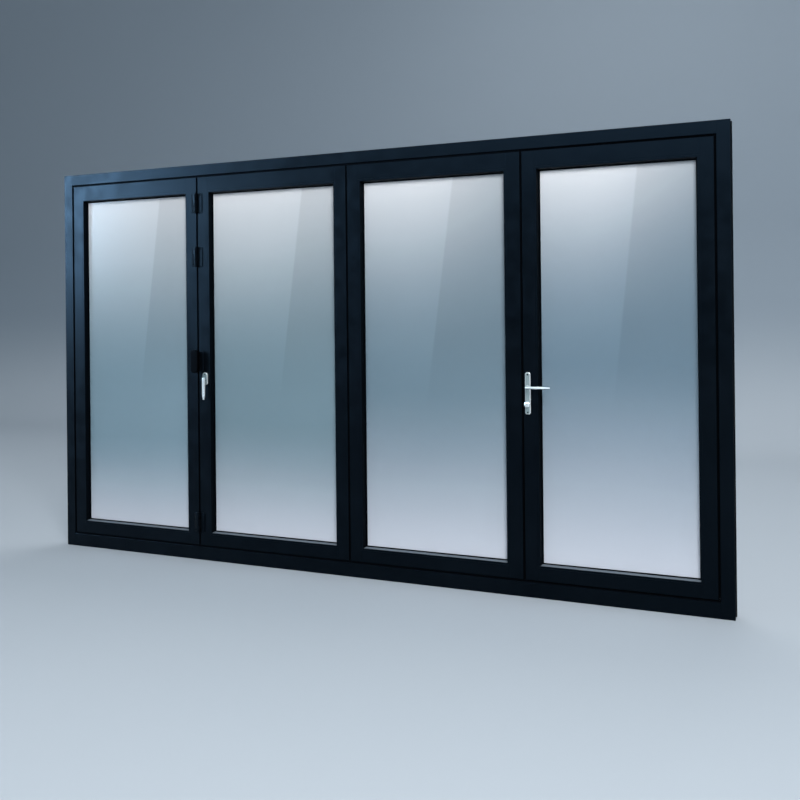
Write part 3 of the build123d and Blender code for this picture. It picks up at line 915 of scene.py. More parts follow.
class Form:
    """Collects the solids of one piece and turns them into an object."""

    turned_sides: int = 32
    sharp_angle: float = math.radians(30.0)
    bevel_segments: int = 2
    bevel_profile: float = 0.6

    def __init__(self) -> None:
        """Starts empty."""
        self.mesh = bmesh.new()

    def block(self, low: Point, high: Point) -> None:
        """Adds a box between two corners.

        Args:
            low: the lowest corner.
            high: the highest corner.
        """
        made = bmesh.ops.create_cube(self.mesh, size=1.0)
        centre = [(a + b) / 2 for a, b in zip(low, high)]
        sizes = [b - a for a, b in zip(low, high)]
        placed = Matrix.Translation(centre) @ Matrix.Diagonal((*sizes, 1.0))
        bmesh.ops.transform(self.mesh, verts=made["verts"], matrix=placed)

    def frame(self, low: Point, high: Point, width: float) -> None:
        """Adds a rectangular frame in the XZ plane, as four mitred members.

        Args:
            low: the lowest outer corner.
            high: the highest outer corner.
            width: the width of each member.
        """
        rings = []
        for y in (low[1], high[1]):
            for inset in (0.0, width):
                across, up = (low[0] + inset, high[0] - inset), (low[2] + inset, high[2] - inset)
                rings.append([self.mesh.verts.new(corner) for corner in upright_loop(across, up, y)])
        near_out, near_in, far_out, far_in = rings
        corners = len(near_out)
        for i in range(corners):
            j = (i + 1) % corners
            for a, b in ((near_out, near_in), (near_in, far_in), (far_in, far_out), (far_out, near_out)):
                self.mesh.faces.new((a[i], a[j], b[j], b[i]))
        bmesh.ops.recalc_face_normals(self.mesh, faces=self.mesh.faces)

    def turned(self, centre: Point, rings: list[Span]) -> None:
        """Adds a solid turned about an axis along Y.

        Args:
            centre: the point of the axis from which the rings are measured.
            rings: the radius and the place along Y of each ring, from one end to the other.
        """
        sides, loops = self.turned_sides, []
        angles = [2 * math.pi * i / sides for i in range(sides)]
        for radius, along in rings:
            loops.append([self.mesh.verts.new((
                centre[0] + radius * math.cos(angle), centre[1] + along,
                centre[2] + radius * math.sin(angle))) for angle in angles])
        for near, far in zip(loops, loops[1:]):
            for i in range(sides):
                j = (i + 1) % sides
                self.mesh.faces.new((near[i], near[j], far[j], far[i]))
        self.mesh.faces.new(loops[0])
        self.mesh.faces.new(reversed(loops[-1]))
        bmesh.ops.recalc_face_normals(self.mesh, faces=self.mesh.faces)

    def piece(self, name: str, bevel: float = 0.0) -> bpy.types.Object:
        """Makes the object.

        Args:
            name: the object's name.
            bevel: the width of a bevel on every sharp edge, or 0.

        Returns:
            The new object, linked to the scene.
        """
        if bevel:
            sharp = [e for e in self.mesh.edges if e.calc_face_angle(0.0) > self.sharp_angle]
            bmesh.ops.bevel(self.mesh, geom=sharp, offset=bevel, segments=self.bevel_segments,
                            profile=self.bevel_profile, affect="EDGES")
        data = bpy.data.meshes.new(name)
        self.mesh.to_mesh(data)
        self.mesh.free()
        return linked(name, data)


class Dresser:
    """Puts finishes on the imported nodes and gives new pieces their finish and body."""

    merge_distance: float = 0.00001
    sharp_angle: float = math.radians(32.0)

    def __init__(self, frame: dict[str, Any]) -> None:
        """Keeps the loaded frame."""
        self.nodes = frame["nodes"]

    def coat(self, finish: Finish, *names: str) -> None:
        """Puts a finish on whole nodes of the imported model.

        Args:
            finish: the finish.
            names: the nodes.
        """
        for name in names:
            data = self.nodes[name].data
            if not data.materials:
                data.materials.append(finish.material())
            for index in range(len(data.materials)):
                data.materials[index] = finish.material()

    def smooth(self, finish: Finish, body: Rides, slot: Slot, *names: str) -> None:
        """Stands a merged, smoothly shaded copy in the place of turned or rounded nodes.

        Args:
            finish: the finish of the copies.
            body: the body that they move with.
            slot: the record's slot of the finish; not used.
            names: the nodes.
        """
        for name in names:
            form = bmesh.new()
            form.from_mesh(self.nodes[name].data)
            bmesh.ops.remove_doubles(form, verts=form.verts, dist=self.merge_distance)
            data = bpy.data.meshes.new(f"{name}_smooth")
            form.to_mesh(data)
            form.free()
            data.shade_smooth()
            data.set_sharp_from_angle(angle=self.sharp_angle)
            self.fit(linked(f"{name}_smooth", data), finish, body, (name,))

    def fit(self, piece: bpy.types.Object, finish: Finish, body: Rides,
            stands_for: tuple[str, ...] = ()) -> None:
        """Gives a new piece its finish and body.

        Args:
            piece: the piece.
            finish: its finish.
            body: the body that it moves with.
            stands_for: nodes that it stands for.
        """
        piece.data.materials.clear()
        piece.data.materials.append(finish.material())
        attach(piece, body.value)
        if stands_for:
            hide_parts(*stands_for)
        log.info("%s: %d faces on %s", piece.name, len(piece.data.polygons), body.value)


@dataclass(frozen=True)
class DoorPlan:
    """The number of leaves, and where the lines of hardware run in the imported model, in metres."""

    leaves: int = 4
    leaf_face: float = 0.037
    frame_face: float = 0.038
    left_line: float = -1.922
    fold_line: float = -0.985
    carriage_line: float = 0.0
    door_line: float = 1.922
    outside_heights: tuple[float, ...] = (0.240, 1.150, 2.060)
    fold_heights: tuple[float, ...] = (0.217, 1.156, 1.763, 2.076)
    carriage_heights: tuple[float, ...] = (0.147, 1.150, 2.166)
    door_left: float = 0.991
    door_right: float = 1.916
    door_foot: float = 0.087
    door_head: float = 2.226
    lip_line: float = 0.027
    lip_reach: float = 0.0057
    lock_x: float = 1.013
    cylinder_z: float = 0.963
    bolt_x: float = -0.935
    bolt_z: float = 1.053


@dataclass
class Fasteners:
    """Raised countersunk screws with a six-lobed drive, grown on spots that face outwards."""

    sides: int = 24
    lobes: float = 6.0
    full_turn: float = 6.283
    tree: Growth | None = None

    def plant(self) -> Growth:
        """Builds the tree: a low cone, an inner ring drawn into lobes, and the drive sunk into it.

        Returns:
            The tree, which grows one screw on each point.
        """
        tree = Growth("screw_growth", {
            "Head Radius": 0.0042, "Head Rise": 0.0009, "Crown": 0.62, "Drive": 0.72, "Lobe": 0.16,
            "Drive Depth": 0.0014, "Seed": 3.0})
        head = tree.add("GeometryNodeMeshCone", {"fill_type": "NGON"}, {
            "Vertices": self.sides, "Side Segments": 2, "Radius Bottom": tree.given("Head Radius"),
            "Radius Top": tree.given("Head Radius") * tree.given("Crown"), "Depth": tree.given("Head Rise")})
        ring = tree.add("GeometryNodeExtrudeMesh", {"mode": "FACES"}, {
            "Mesh": head, "Selection": head.also("Top"), "Offset Scale": 0.0, "Individual": False})
        inner = tree.add("GeometryNodeScaleElements", {"domain": "FACE"}, {
            "Geometry": ring, "Selection": ring.also("Top"), "Scale": tree.given("Drive")})
        place = tree.add("GeometryNodeInputPosition")
        x, y = tree.axis(place, "X"), tree.axis(place, "Y")
        pull = (y.turn_to(x) * self.lobes).cosine() * tree.given("Lobe")
        shift = tree.add("ShaderNodeCombineXYZ", inputs={"X": x * pull, "Y": y * pull, "Z": 0.0})
        lobed = tree.add("GeometryNodeSetPosition", inputs={
            "Geometry": inner, "Selection": ring.also("Top"), "Offset": shift})
        sunk = tree.add("GeometryNodeExtrudeMesh", {"mode": "FACES"}, {
            "Mesh": lobed, "Selection": ring.also("Top"), "Offset Scale": tree.given("Drive Depth") * -1.0,
            "Individual": False})
        way = tree.add("GeometryNodeInputNamedAttribute", {"data_type": "FLOAT_VECTOR"}, {
            "Name": "facing"}, output="Attribute")
        upright = tree.add("FunctionNodeAlignRotationToVector", {"axis": "Z"}, {"Vector": way})
        chance = tree.add("FunctionNodeRandomValue", {"data_type": "FLOAT"}, {
            "Min": 0.0, "Max": self.full_turn, "Seed": tree.given("Seed")}, output="Value")
        spin = tree.add("FunctionNodeAxisAngleToRotation", inputs={"Axis": (0.0, 0.0, 1.0), "Angle": chance})
        turned = tree.add("FunctionNodeRotateRotation", {"rotation_space": "LOCAL"}, {
            "Rotation": upright, "Rotate By": spin})
        tree.close(tree.add("GeometryNodeInstanceOnPoints", inputs={
            "Points": tree.given("Geometry"), "Instance": sunk, "Rotation": turned}))
        return tree

    def drive(self, dresser: Dresser, name: str, spots: list[Spot], finish: Finish, body: Rides,
              sizes: dict[str, float] | None = None) -> None:
        """Drives one set of screws.

        Args:
            dresser: gives the piece its finish and body.
            name: the piece's name.
            spots: where the heads sit and the way that they face.
            finish: their finish.
            body: the body that they move with.
            sizes: inputs of the tree that differ from its usual values.
        """
        if self.tree is None:
            self.tree = self.plant()
        dresser.fit(self.tree.grow(name, spots_bed(spots), finish, sizes), finish, body)


@dataclass
class HingeLine:
    """One line of hinges: the screws of its plates and the caps on the ends of its pins."""

    name: str
    axis_x: float
    out: int
    heights: tuple[float, ...]
    plates: tuple[tuple[int, float, Rides], ...]
    pin_body: Rides = Rides.FRAME
    bare_ends: tuple[tuple[int, int], ...] = ()
    barrel_y: float = 0.048
    plate_thickness: float = 0.005
    plate_centre: float = 0.0225
    half_height: float = 0.056
    screw_offsets: tuple[Span, ...] = ((-0.005, -0.043), (0.005, -0.0155), (-0.005, 0.0155), (0.005, 0.043))
    cap_radius: float = 0.0086
    cap_rise: float = 0.0024
    cap_crown: float = 0.7
    cap_dimple: float = 0.42
    cap_dimple_depth: float = 0.0012

    def screw_spots(self, side: int, face: float) -> list[Spot]:
        """The screws of the plates on one side of the axis.

        Args:
            side: 1 for the plates to the right of the axis, -1 for those to the left.
            face: how far the face under the plates lies from the middle of the door.

        Returns:
            Their spots.
        """
        y = self.out * (face + self.plate_thickness)
        x = self.axis_x + side * self.plate_centre
        return [((x + dx, y, z + dz), (0.0, float(self.out), 0.0))
                for z in self.heights for dx, dz in self.screw_offsets]

    def cap_spots(self) -> list[Spot]:
        """The ends of the barrels, apart from those that run on into a carriage.

        Returns:
            Their spots.
        """
        spots = []
        for number, z in enumerate(self.heights):
            for end in (-1, 1):
                if (number, end) not in self.bare_ends:
                    spots.append(((self.axis_x, self.out * self.barrel_y, z + end * self.half_height),
                                  (0.0, 0.0, float(end))))
        return spots

    def build(self, dresser: Dresser, fasteners: Fasteners) -> None:
        """Builds the screws and the caps.

        Args:
            dresser: gives the pieces their finish and body.
            fasteners: grows them.
        """
        for side, face, body in self.plates:
            hand = "right" if side > 0 else "left"
            spots = self.screw_spots(side, face)
            fasteners.drive(dresser, f"{self.name}_screws_{hand}", spots, PowderCoat(), body)
        cap = {"Head Radius": self.cap_radius, "Head Rise": self.cap_rise, "Crown": self.cap_crown,
               "Drive": self.cap_dimple, "Drive Depth": self.cap_dimple_depth}
        fasteners.drive(dresser, f"{self.name}_pin_caps", self.cap_spots(), HardwareBlack(),
                        self.pin_body, cap)


@dataclass
class LockSet:
    """The small parts of the lock and the shootbolt: plate screws, strike screws and the key plug."""

    plan: DoorPlan
    plate_surface: float = 0.045
    sunk: float = 0.0001
    plate_screws: tuple[float, ...] = (0.923, 1.111)
    strike_x: float = 0.981
    strike_screws: tuple[float, ...] = (0.455, 0.525, 0.926, 1.003, 1.084, 1.775, 1.845)
    faceplate_x: float = 0.9885
    faceplate_screws: tuple[float, ...] = (0.325, 0.420, 0.700, 0.890, 1.210, 1.510, 1.740, 1.975)
    base_surface: float = 0.047
    base_screws: tuple[float, ...] = (-0.026, 0.026)
    cylinder_face: float = 0.047
    plug_radius: float = 0.0062
    plug_rise: float = 0.0004
    plug_root: float = 0.001
    plug_shoulder: float = 0.6
    plug_rim: float = 0.93
    plug_ring: float = 0.55
    plug_dish: float = 0.50
    key_width: float = 0.0013
    key_height: float = 0.0078
    key_root: float = 0.0004
    key_rise: float = 0.00035
    key_matt: float = 0.8
    ward_left: float = 1.0
    ward_right: float = 0.4
    ward_foot: float = 0.10
    ward_head: float = 0.12

    def build(self, dresser: Dresser, fasteners: Fasteners) -> None:
        """Builds the screws and the plug.

        Args:
            dresser: gives the pieces their finish and body.
            fasteners: grows the screws.
        """
        plan, black, zinc = self.plan, HardwareBlack(), ZincSteel()
        hole_shade_heads = {"Head Radius": 0.0043, "Head Rise": 0.0010}
        in_edge = {"Head Rise": 0.0006}
        in_base = {"Head Radius": 0.0034, "Head Rise": 0.0005}
        floor = self.plate_surface - self.sunk
        inner = [((plan.lock_x, -floor, z), (0.0, -1.0, 0.0)) for z in self.plate_screws]
        outer = [((plan.lock_x, floor, z), (0.0, 1.0, 0.0)) for z in self.plate_screws]
        strikes = [((self.strike_x, 0.0, z), (1.0, 0.0, 0.0)) for z in self.strike_screws]
        edges = [((self.faceplate_x, 0.0, z), (-1.0, 0.0, 0.0)) for z in self.faceplate_screws]
        base = [((plan.bolt_x, -self.base_surface, plan.bolt_z + dz), (0.0, -1.0, 0.0))
                for dz in self.base_screws]
        # The black heads in the chrome backplates paint the shade of their screw holes.
        for name, spots, finish, body, sizes in (
                ("inner_backplate_screws", inner, black, Rides.DOOR, hole_shade_heads),
                ("outer_backplate_screws", outer, black, Rides.DOOR, hole_shade_heads),
                ("strike_screws", strikes, zinc, Rides.FRAME, in_edge),
                ("faceplate_screws", edges, zinc, Rides.DOOR, in_edge),
                ("shootbolt_base_screws", base, black, Rides.FRAME, in_base)):
            fasteners.drive(dresser, name, spots, finish, body, sizes)
        self.build_plug(dresser)

    def build_plug(self, dresser: Dresser) -> None:
        """Builds the outer end of the cylinder: the dished plug and its key slot with one ward, a dark block
        of painted shade.

        Args:
            dresser: gives the pieces their finish and body.
        """
        x, face, z = self.plan.lock_x, self.cylinder_face, self.plan.cylinder_z
        radius, rise, dish = self.plug_radius, self.plug_rise, self.plug_rise / 2
        plug = Form()
        plug.turned((x, face, z), [
            (radius, -self.plug_root), (radius, rise * self.plug_shoulder), (radius * self.plug_rim, rise),
            (radius * self.plug_ring, rise), (radius * self.plug_dish, dish)])
        dresser.fit(plug.piece("cylinder_plug"), SatinChrome(), Rides.DOOR)
        low, high = face + dish - self.key_root, face + dish + self.key_rise
        # The key slot is a dark block just proud of the plug: painted shade in the place of a recess.
        slot = Form()
        slot.block((x - self.key_width / 2, low, z - self.key_height / 2),
                   (x + self.key_width / 2, high, z + self.key_height / 2))
        slot.block((x - self.key_width * self.ward_left, low, z - self.key_height * self.ward_foot),
                   (x + self.key_width * self.ward_right, high, z + self.key_height * self.ward_head))
        shadow = HardwareBlack("key_slot_shadow", roughness=self.key_matt)
        dresser.fit(slot.piece("key_slot_painted_shade"), shadow, Rides.DOOR)


@dataclass
class LipSeals:
    """Soft rubber lips round the edge of the access door, which close its running gap."""

    plan: DoorPlan
    depth: float = 0.0054
    corner: float = 0.0008
    corner_points: int = 4
    section_points: int = 12

    def build(self, dresser: Dresser) -> None:
        """Sweeps a rounded section along two closed paths round the door.

        Args:
            dresser: gives the piece its finish and body.
        """
        plan, half = self.plan, self.plan.lip_reach / 2
        tree = Growth("lip_growth", {"Reach": plan.lip_reach, "Depth": self.depth, "Corner": self.corner})
        path = tree.add("GeometryNodeMeshToCurve", inputs={"Mesh": tree.given("Geometry")})
        rounded = tree.add("GeometryNodeFilletCurve", {"mode": "POLY"}, {
            "Curve": path, "Count": self.corner_points, "Radius": tree.given("Corner"), "Limit Radius": True})
        ring = tree.add("GeometryNodeCurvePrimitiveCircle", inputs={
            "Resolution": self.section_points, "Radius": 0.5})
        scale = tree.add("ShaderNodeCombineXYZ", inputs={
            "X": tree.given("Reach"), "Y": tree.given("Depth"), "Z": 1.0})
        section = tree.add("GeometryNodeTransform", inputs={"Geometry": ring, "Scale": scale})
        swept = tree.add("GeometryNodeCurveToMesh", inputs={"Curve": rounded, "Profile Curve": section})
        tree.close(swept)
        across = (plan.door_left - half, plan.door_right + half)
        up = (plan.door_foot - half, plan.door_head + half)
        paths = [upright_loop(across, up, y) for y in (-plan.lip_line, plan.lip_line)]
        made = tree.grow("door_lip_seals", path_bed(paths, True), SealRubber())
        made.data.shade_smooth()
        dresser.fit(made, SealRubber(), Rides.DOOR)


@dataclass
class CornerPads:
    """Small rubber pads on the fixed side, which fill the corners between the door's lips and the seals."""

    plan: DoorPlan
    gap: float = 0.012
    play: float = 0.0003
    overlap: float = 0.0008
    depth: float = 0.0056

    def build(self, dresser: Dresser) -> None:
        """Builds a pad at each corner of the access door, on both lines of lips.

        Args:
            dresser: gives the piece its finish and body.
        """
        plan, far, near = self.plan, self.gap - self.play, self.plan.lip_reach + self.play
        sides = ((plan.door_left - far, plan.door_left - near),
                 (plan.door_right + near, plan.door_right + far))
        ends = ((plan.door_foot - plan.lip_reach, plan.door_foot + self.overlap),
                (plan.door_head - self.overlap, plan.door_head + plan.lip_reach))
        pads = Form()
        for y in (-plan.lip_line, plan.lip_line):
            for x0, x1 in sides:
                for z0, z1 in ends:
                    pads.block((x0, y - self.depth / 2, z0), (x1, y + self.depth / 2, z1))
        dresser.fit(pads.piece("door_seal_corner_pads"), SealRubber(), Rides.FRAME)


@dataclass
class TrackPile:
    """Two rows of pile that close the slot of the head track, parted at the carriage."""

    half_length: float = 1.926
    lip_y: float = 0.007
    reach: float = 0.0062
    level: float = 2.2391
    carriage_half: float = 0.012
    pitch: float = 0.0035
    fibre_radius: float = 0.00055
    fibre_taper: float = 0.35
    fibre_sides: int = 4

    def build(self, dresser: Dresser) -> None:
        """Grows bristles along the lips of the track.

        Args:
            dresser: gives the piece its finish and body.
        """
        tree = Growth("pile_growth", {
            "Pitch": self.pitch, "Reach": self.reach, "Fibre": self.fibre_radius, "Sway": 0.22, "Seed": 11.0})
        path = tree.add("GeometryNodeMeshToCurve", inputs={"Mesh": tree.given("Geometry")})
        points = tree.add("GeometryNodeCurveToPoints", {"mode": "LENGTH"}, {
            "Curve": path, "Length": tree.given("Pitch")})
        fibre = tree.add("GeometryNodeMeshCone", {"fill_type": "NGON"}, {
            "Vertices": self.fibre_sides, "Radius Bottom": tree.given("Fibre"),
            "Radius Top": tree.given("Fibre") * self.fibre_taper, "Depth": tree.given("Reach")})
        place = tree.add("GeometryNodeInputPosition")
        y = tree.axis(place, "Y")
        inward = y * (-1.0 / self.lip_y)
        aim = tree.add("ShaderNodeCombineXYZ", inputs={"X": 0.0, "Y": inward, "Z": 0.0})
        sway = tree.add("FunctionNodeRandomValue", {"data_type": "FLOAT_VECTOR"}, {
            "Min": (-1.0, 0.0, -1.0), "Max": (1.0, 0.0, 1.0), "Seed": tree.given("Seed")}, output="Value")
        bend = tree.add("ShaderNodeVectorMath", {"operation": "SCALE"}, {
            0: sway, "Scale": tree.given("Sway")})
        way = tree.add("ShaderNodeVectorMath", {"operation": "ADD"}, {0: aim, 1: bend})
        turn = tree.add("FunctionNodeAlignRotationToVector", {"axis": "Z"}, {"Vector": way})
        tree.close(tree.add("GeometryNodeInstanceOnPoints", inputs={
            "Points": points, "Instance": fibre, "Rotation": turn}))
        paths = []
        for lip in (-self.lip_y, self.lip_y):
            for x0, x1 in ((-self.half_length, -self.carriage_half), (self.carriage_half, self.half_length)):
                paths.append([(x0, lip, self.level), (x1, lip, self.level)])
        made = tree.grow("head_track_pile", path_bed(paths, False), PileFibre())
        dresser.fit(made, PileFibre(), Rides.FRAME)


@dataclass
class GlassUnit:
    """A sealed double-glazed unit: two panes, a perforated spacer bar and its edge seal."""

    number: int
    body: Rides
    tones: PaneTones
    pane: float = 0.004
    arris: float = 0.0006
    seal_width: float = 0.005
    spacer_width: float = 0.0075
    slot_pitch: float = 0.009
    slot_length: float = 0.0026
    slot_width: float = 0.0007

    def build(self, dresser: Dresser, perforations: Growth) -> None:
        """Builds the unit in the place of its packed block.

        Args:
            dresser: gives the pieces their finish and body.
            perforations: grows the slots of the spacer bar.
        """
        leaf = f"leaf_{self.number}"
        node = f"{leaf}_glass_unit"
        low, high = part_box(node)
        near, far = low[1] + self.pane, high[1] - self.pane
        room, outside, edge, bar = Form(), Form(), Form(), Form()
        room.block(low, (high[0], near, high[2]))
        outside.block((low[0], far, low[2]), high)
        edge.frame((low[0], near, low[2]), (high[0], far, high[2]), self.seal_width)
        inset = self.seal_width
        bar.frame((low[0] + inset, near, low[2] + inset), (high[0] - inset, far, high[2] - inset),
                  self.spacer_width)
        # Each pane's material carries its own painted reflections.
        solar = PaneGlass(f"painted_reflection_glass_{leaf}", self.tones)
        foil = DrawnAluminium("spacer_foil", (1.0, 1.0, 1.0))
        for form, name, bevel, finish, slot in (
                (room, "room_pane", self.arris, solar, Slot.GLASS),
                (outside, "outside_pane", self.arris, ClearGlass(), Slot.GLASS),
                (edge, "edge_seal", 0.0, SealRubber(), Slot.RUBBER),
                (bar, "spacer_bar", 0.0, foil, Slot.TRACK)):
            dresser.fit(form.piece(f"{leaf}_{name}", bevel), finish, self.body, (node,))
        rim = inset + self.spacer_width
        path = upright_loop((low[0] + rim, high[0] - rim), (low[2] + rim, high[2] - rim), (near + far) / 2)
        # The slots are black slabs just proud of the spacer bar: painted shade in the place of holes.
        slots = perforations.grow(f"{leaf}_spacer_slots_painted_shade", path_bed([path], True), HardwareBlack())
        dresser.fit(slots, HardwareBlack(), self.body, (node,))

    def perforations(self) -> Growth:
        """The tree that lays short slots end to end along a path in the plane of the glass.

        Returns:
            The tree.
        """
        tree = Growth("perforation_growth", {
            "Pitch": self.slot_pitch, "Length": self.slot_length, "Width": self.slot_width, "Rise": 0.0001})
        path = tree.add("GeometryNodeMeshToCurve", inputs={"Mesh": tree.given("Geometry")})
        points = tree.add("GeometryNodeCurveToPoints", {"mode": "LENGTH"}, {
            "Curve": path, "Length": tree.given("Pitch")})
        size = tree.add("ShaderNodeCombineXYZ", inputs={
            "X": tree.given("Rise"), "Y": tree.given("Width"), "Z": tree.given("Length")})
        slot = tree.add("GeometryNodeMeshCube", inputs={"Size": size})
        turn = tree.add("FunctionNodeAlignRotationToVector", {"axis": "Z", "pivot_axis": "Y"}, {
            "Vector": points.also("Tangent")})
        tree.close(tree.add("GeometryNodeInstanceOnPoints", inputs={
            "Points": points, "Instance": slot, "Rotation": turn}))
        return tree


@dataclass(frozen=True)
class Lamp:
    """A soft rectangular lamp, or a feathered panel that fades to its edges and shows only as a sheen."""

    name: str
    place: Point
    target: Point
    size: Span
    watts: float
    tint: Point
    feathered: bool = False

    def hang(self) -> None:
        """Hangs the lamp, turned to its target."""
        data = bpy.data.lights.new(self.name, "AREA")
        data.shape = "RECTANGLE"
        data.size, data.size_y = self.size
        data.energy = self.watts
        data.color = self.tint
        made = linked(self.name, data)
        made.location = self.place
        made.rotation_euler = (Vector(self.target) - Vector(self.place)).to_track_quat("-Z", "Y").to_euler()
        if self.feathered:
            self.feather(data)
            made.visible_diffuse = False

    def feather(self, data: bpy.types.AreaLight) -> None:
        """Fades the panel towards its edges.

        Args:
            data: the lamp's data.
        """
        data.use_nodes = True
        recipe = Recipe(data.node_tree)
        spot = recipe.add("ShaderNodeNewGeometry", output="Parametric")
        across, up = recipe.axis(spot, "X") * 2.0 - 1.0, recipe.axis(spot, "Y") * 2.0 - 1.0
        fade = recipe.remap(across.sized(), (1.0, 0.0)) * recipe.remap(up.sized(), (1.0, 0.0))
        glow = recipe.add("ShaderNodeEmission", inputs={"Strength": fade})
        recipe.add("ShaderNodeOutputLight", inputs={"Surface": glow})


@dataclass
class Studio:
    """A plain pale floor that curves up into a backdrop, soft lamps and the camera."""

    floor_half: float = 14.0
    floor_drop: float = 0.0005
    wall_y: float = 5.0
    wall_height: float = 9.0
    sweep: float = 2.5
    sweep_steps: int = 24
    camera_place: Point = (2.5351, -4.8323, 1.4262)
    yaw: float = math.radians(-24.861)
    pitch: float = math.radians(0.102)
    roll: float = math.radians(-0.581)
    focal_pixels: float = 1000.0
    image_pixels: float = 800.0
    centre_row: float = 310.9
    sensor_width: float = 36.0
    far_clip: float = 100.0
    air_span: Span = (-0.05, 0.35)
    air_strength: Span = (0.14, 0.42)
    air_tint: Colour = (0.74, 0.88, 1.0, 1.0)
    far_tone: Colour = (0.50, 0.56, 0.62, 1.0)
    lamps: tuple[Lamp, ...] = (
        Lamp("key_lamp", (5.0, -7.5, 6.5), (0.2, 0.0, 1.0), (3.6, 3.6), 950.0, (0.97, 0.985, 1.0)),
        Lamp("back_lamp", (0.0, 3.6, 7.5), (0.0, 2.0, 1.0), (4.5, 4.5), 170.0, (1.0, 1.0, 1.0)),
        Lamp("side_sheen", (-7.4, -4.9, 3.5), (-1.9, 0.0, 2.2), (4.0, 5.2), 4700.0, (0.48, 0.74, 1.0), True),
        Lamp("top_sheen", (0.4, -4.9, 4.2), (0.8, 0.0, 2.3), (11.0, 3.2), 780.0, (0.60, 0.80, 1.0), True),
    )

    def build_sweep(self) -> None:
        """Builds the floor and backdrop as one curved sheet."""
        line = [(-self.floor_half, 0.0)]
        for step in range(self.sweep_steps + 1):
            turn = math.pi / 2 * step / self.sweep_steps
            line.append((self.wall_y + self.sweep * math.sin(turn), self.sweep * (1 - math.cos(turn))))
        line.append((self.wall_y + self.sweep, self.wall_height))
        sheet = bmesh.new()
        rows = [[sheet.verts.new((x, y, z)) for x in (-self.floor_half, self.floor_half)] for y, z in line]
        for below, above in zip(rows, rows[1:]):
            sheet.faces.new((below[0], below[1], above[1], above[0]))
        data = bpy.data.meshes.new("studio_sweep")
        sheet.to_mesh(data)
        sheet.free()
        data.shade_smooth()
        made = linked("studio_sweep", data)
        made.location.z = -self.floor_drop
        data.materials.append(StudioPaper().material())

    def light(self) -> None:
        """Hangs the lamps and sets the even light of the room."""
        world = bpy.data.worlds.new("studio_air")
        world.use_nodes = True
        recipe = Recipe(world.node_tree)
        upward = recipe.axis(recipe.add("ShaderNodeTexCoord", output="Generated"), "Z")
        strength = recipe.remap(upward, self.air_span, self.air_strength)
        shader = recipe.add("ShaderNodeBackground", inputs={"Color": self.air_tint, "Strength": strength})
        seen = recipe.add("ShaderNodeBackground", inputs={"Color": self.far_tone, "Strength": 1.0})
        to_camera = recipe.add("ShaderNodeLightPath", output="Is Camera Ray")
        chosen = recipe.add("ShaderNodeMixShader", inputs={0: to_camera, 1: shader, 2: seen})
        recipe.add("ShaderNodeOutputWorld", inputs={"Surface": chosen})
        bpy.context.scene.world = world
        for lamp in self.lamps:
            lamp.hang()

    def aim(self) -> None:
        """Places the camera at the photograph's angle."""
        forward = Vector((math.sin(self.yaw) * math.cos(self.pitch),
                          math.cos(self.yaw) * math.cos(self.pitch), math.sin(self.pitch)))
        side = Vector((math.cos(self.yaw), -math.sin(self.yaw), 0.0))
        up = side.cross(forward)
        right = math.cos(self.roll) * side + math.sin(self.roll) * up
        above = -math.sin(self.roll) * side + math.cos(self.roll) * up
        data = bpy.data.cameras.new("studio_camera")
        data.sensor_fit = "HORIZONTAL"
        data.sensor_width = self.sensor_width
        data.lens = self.focal_pixels / self.image_pixels * self.sensor_width
        data.shift_y = (self.centre_row - self.image_pixels / 2) / self.image_pixels
        data.clip_end = self.far_clip
        made = linked("studio_camera", data)
        turn = Matrix((right, above, -forward)).transposed()
        made.matrix_world = Matrix.Translation(self.camera_place) @ turn.to_4x4()
        bpy.context.scene.camera = made

    def build(self) -> None:
        """Builds the whole studio."""
        bpy.context.scene.view_settings.view_transform = "Standard"
        self.build_sweep()
        self.light()
        self.aim()


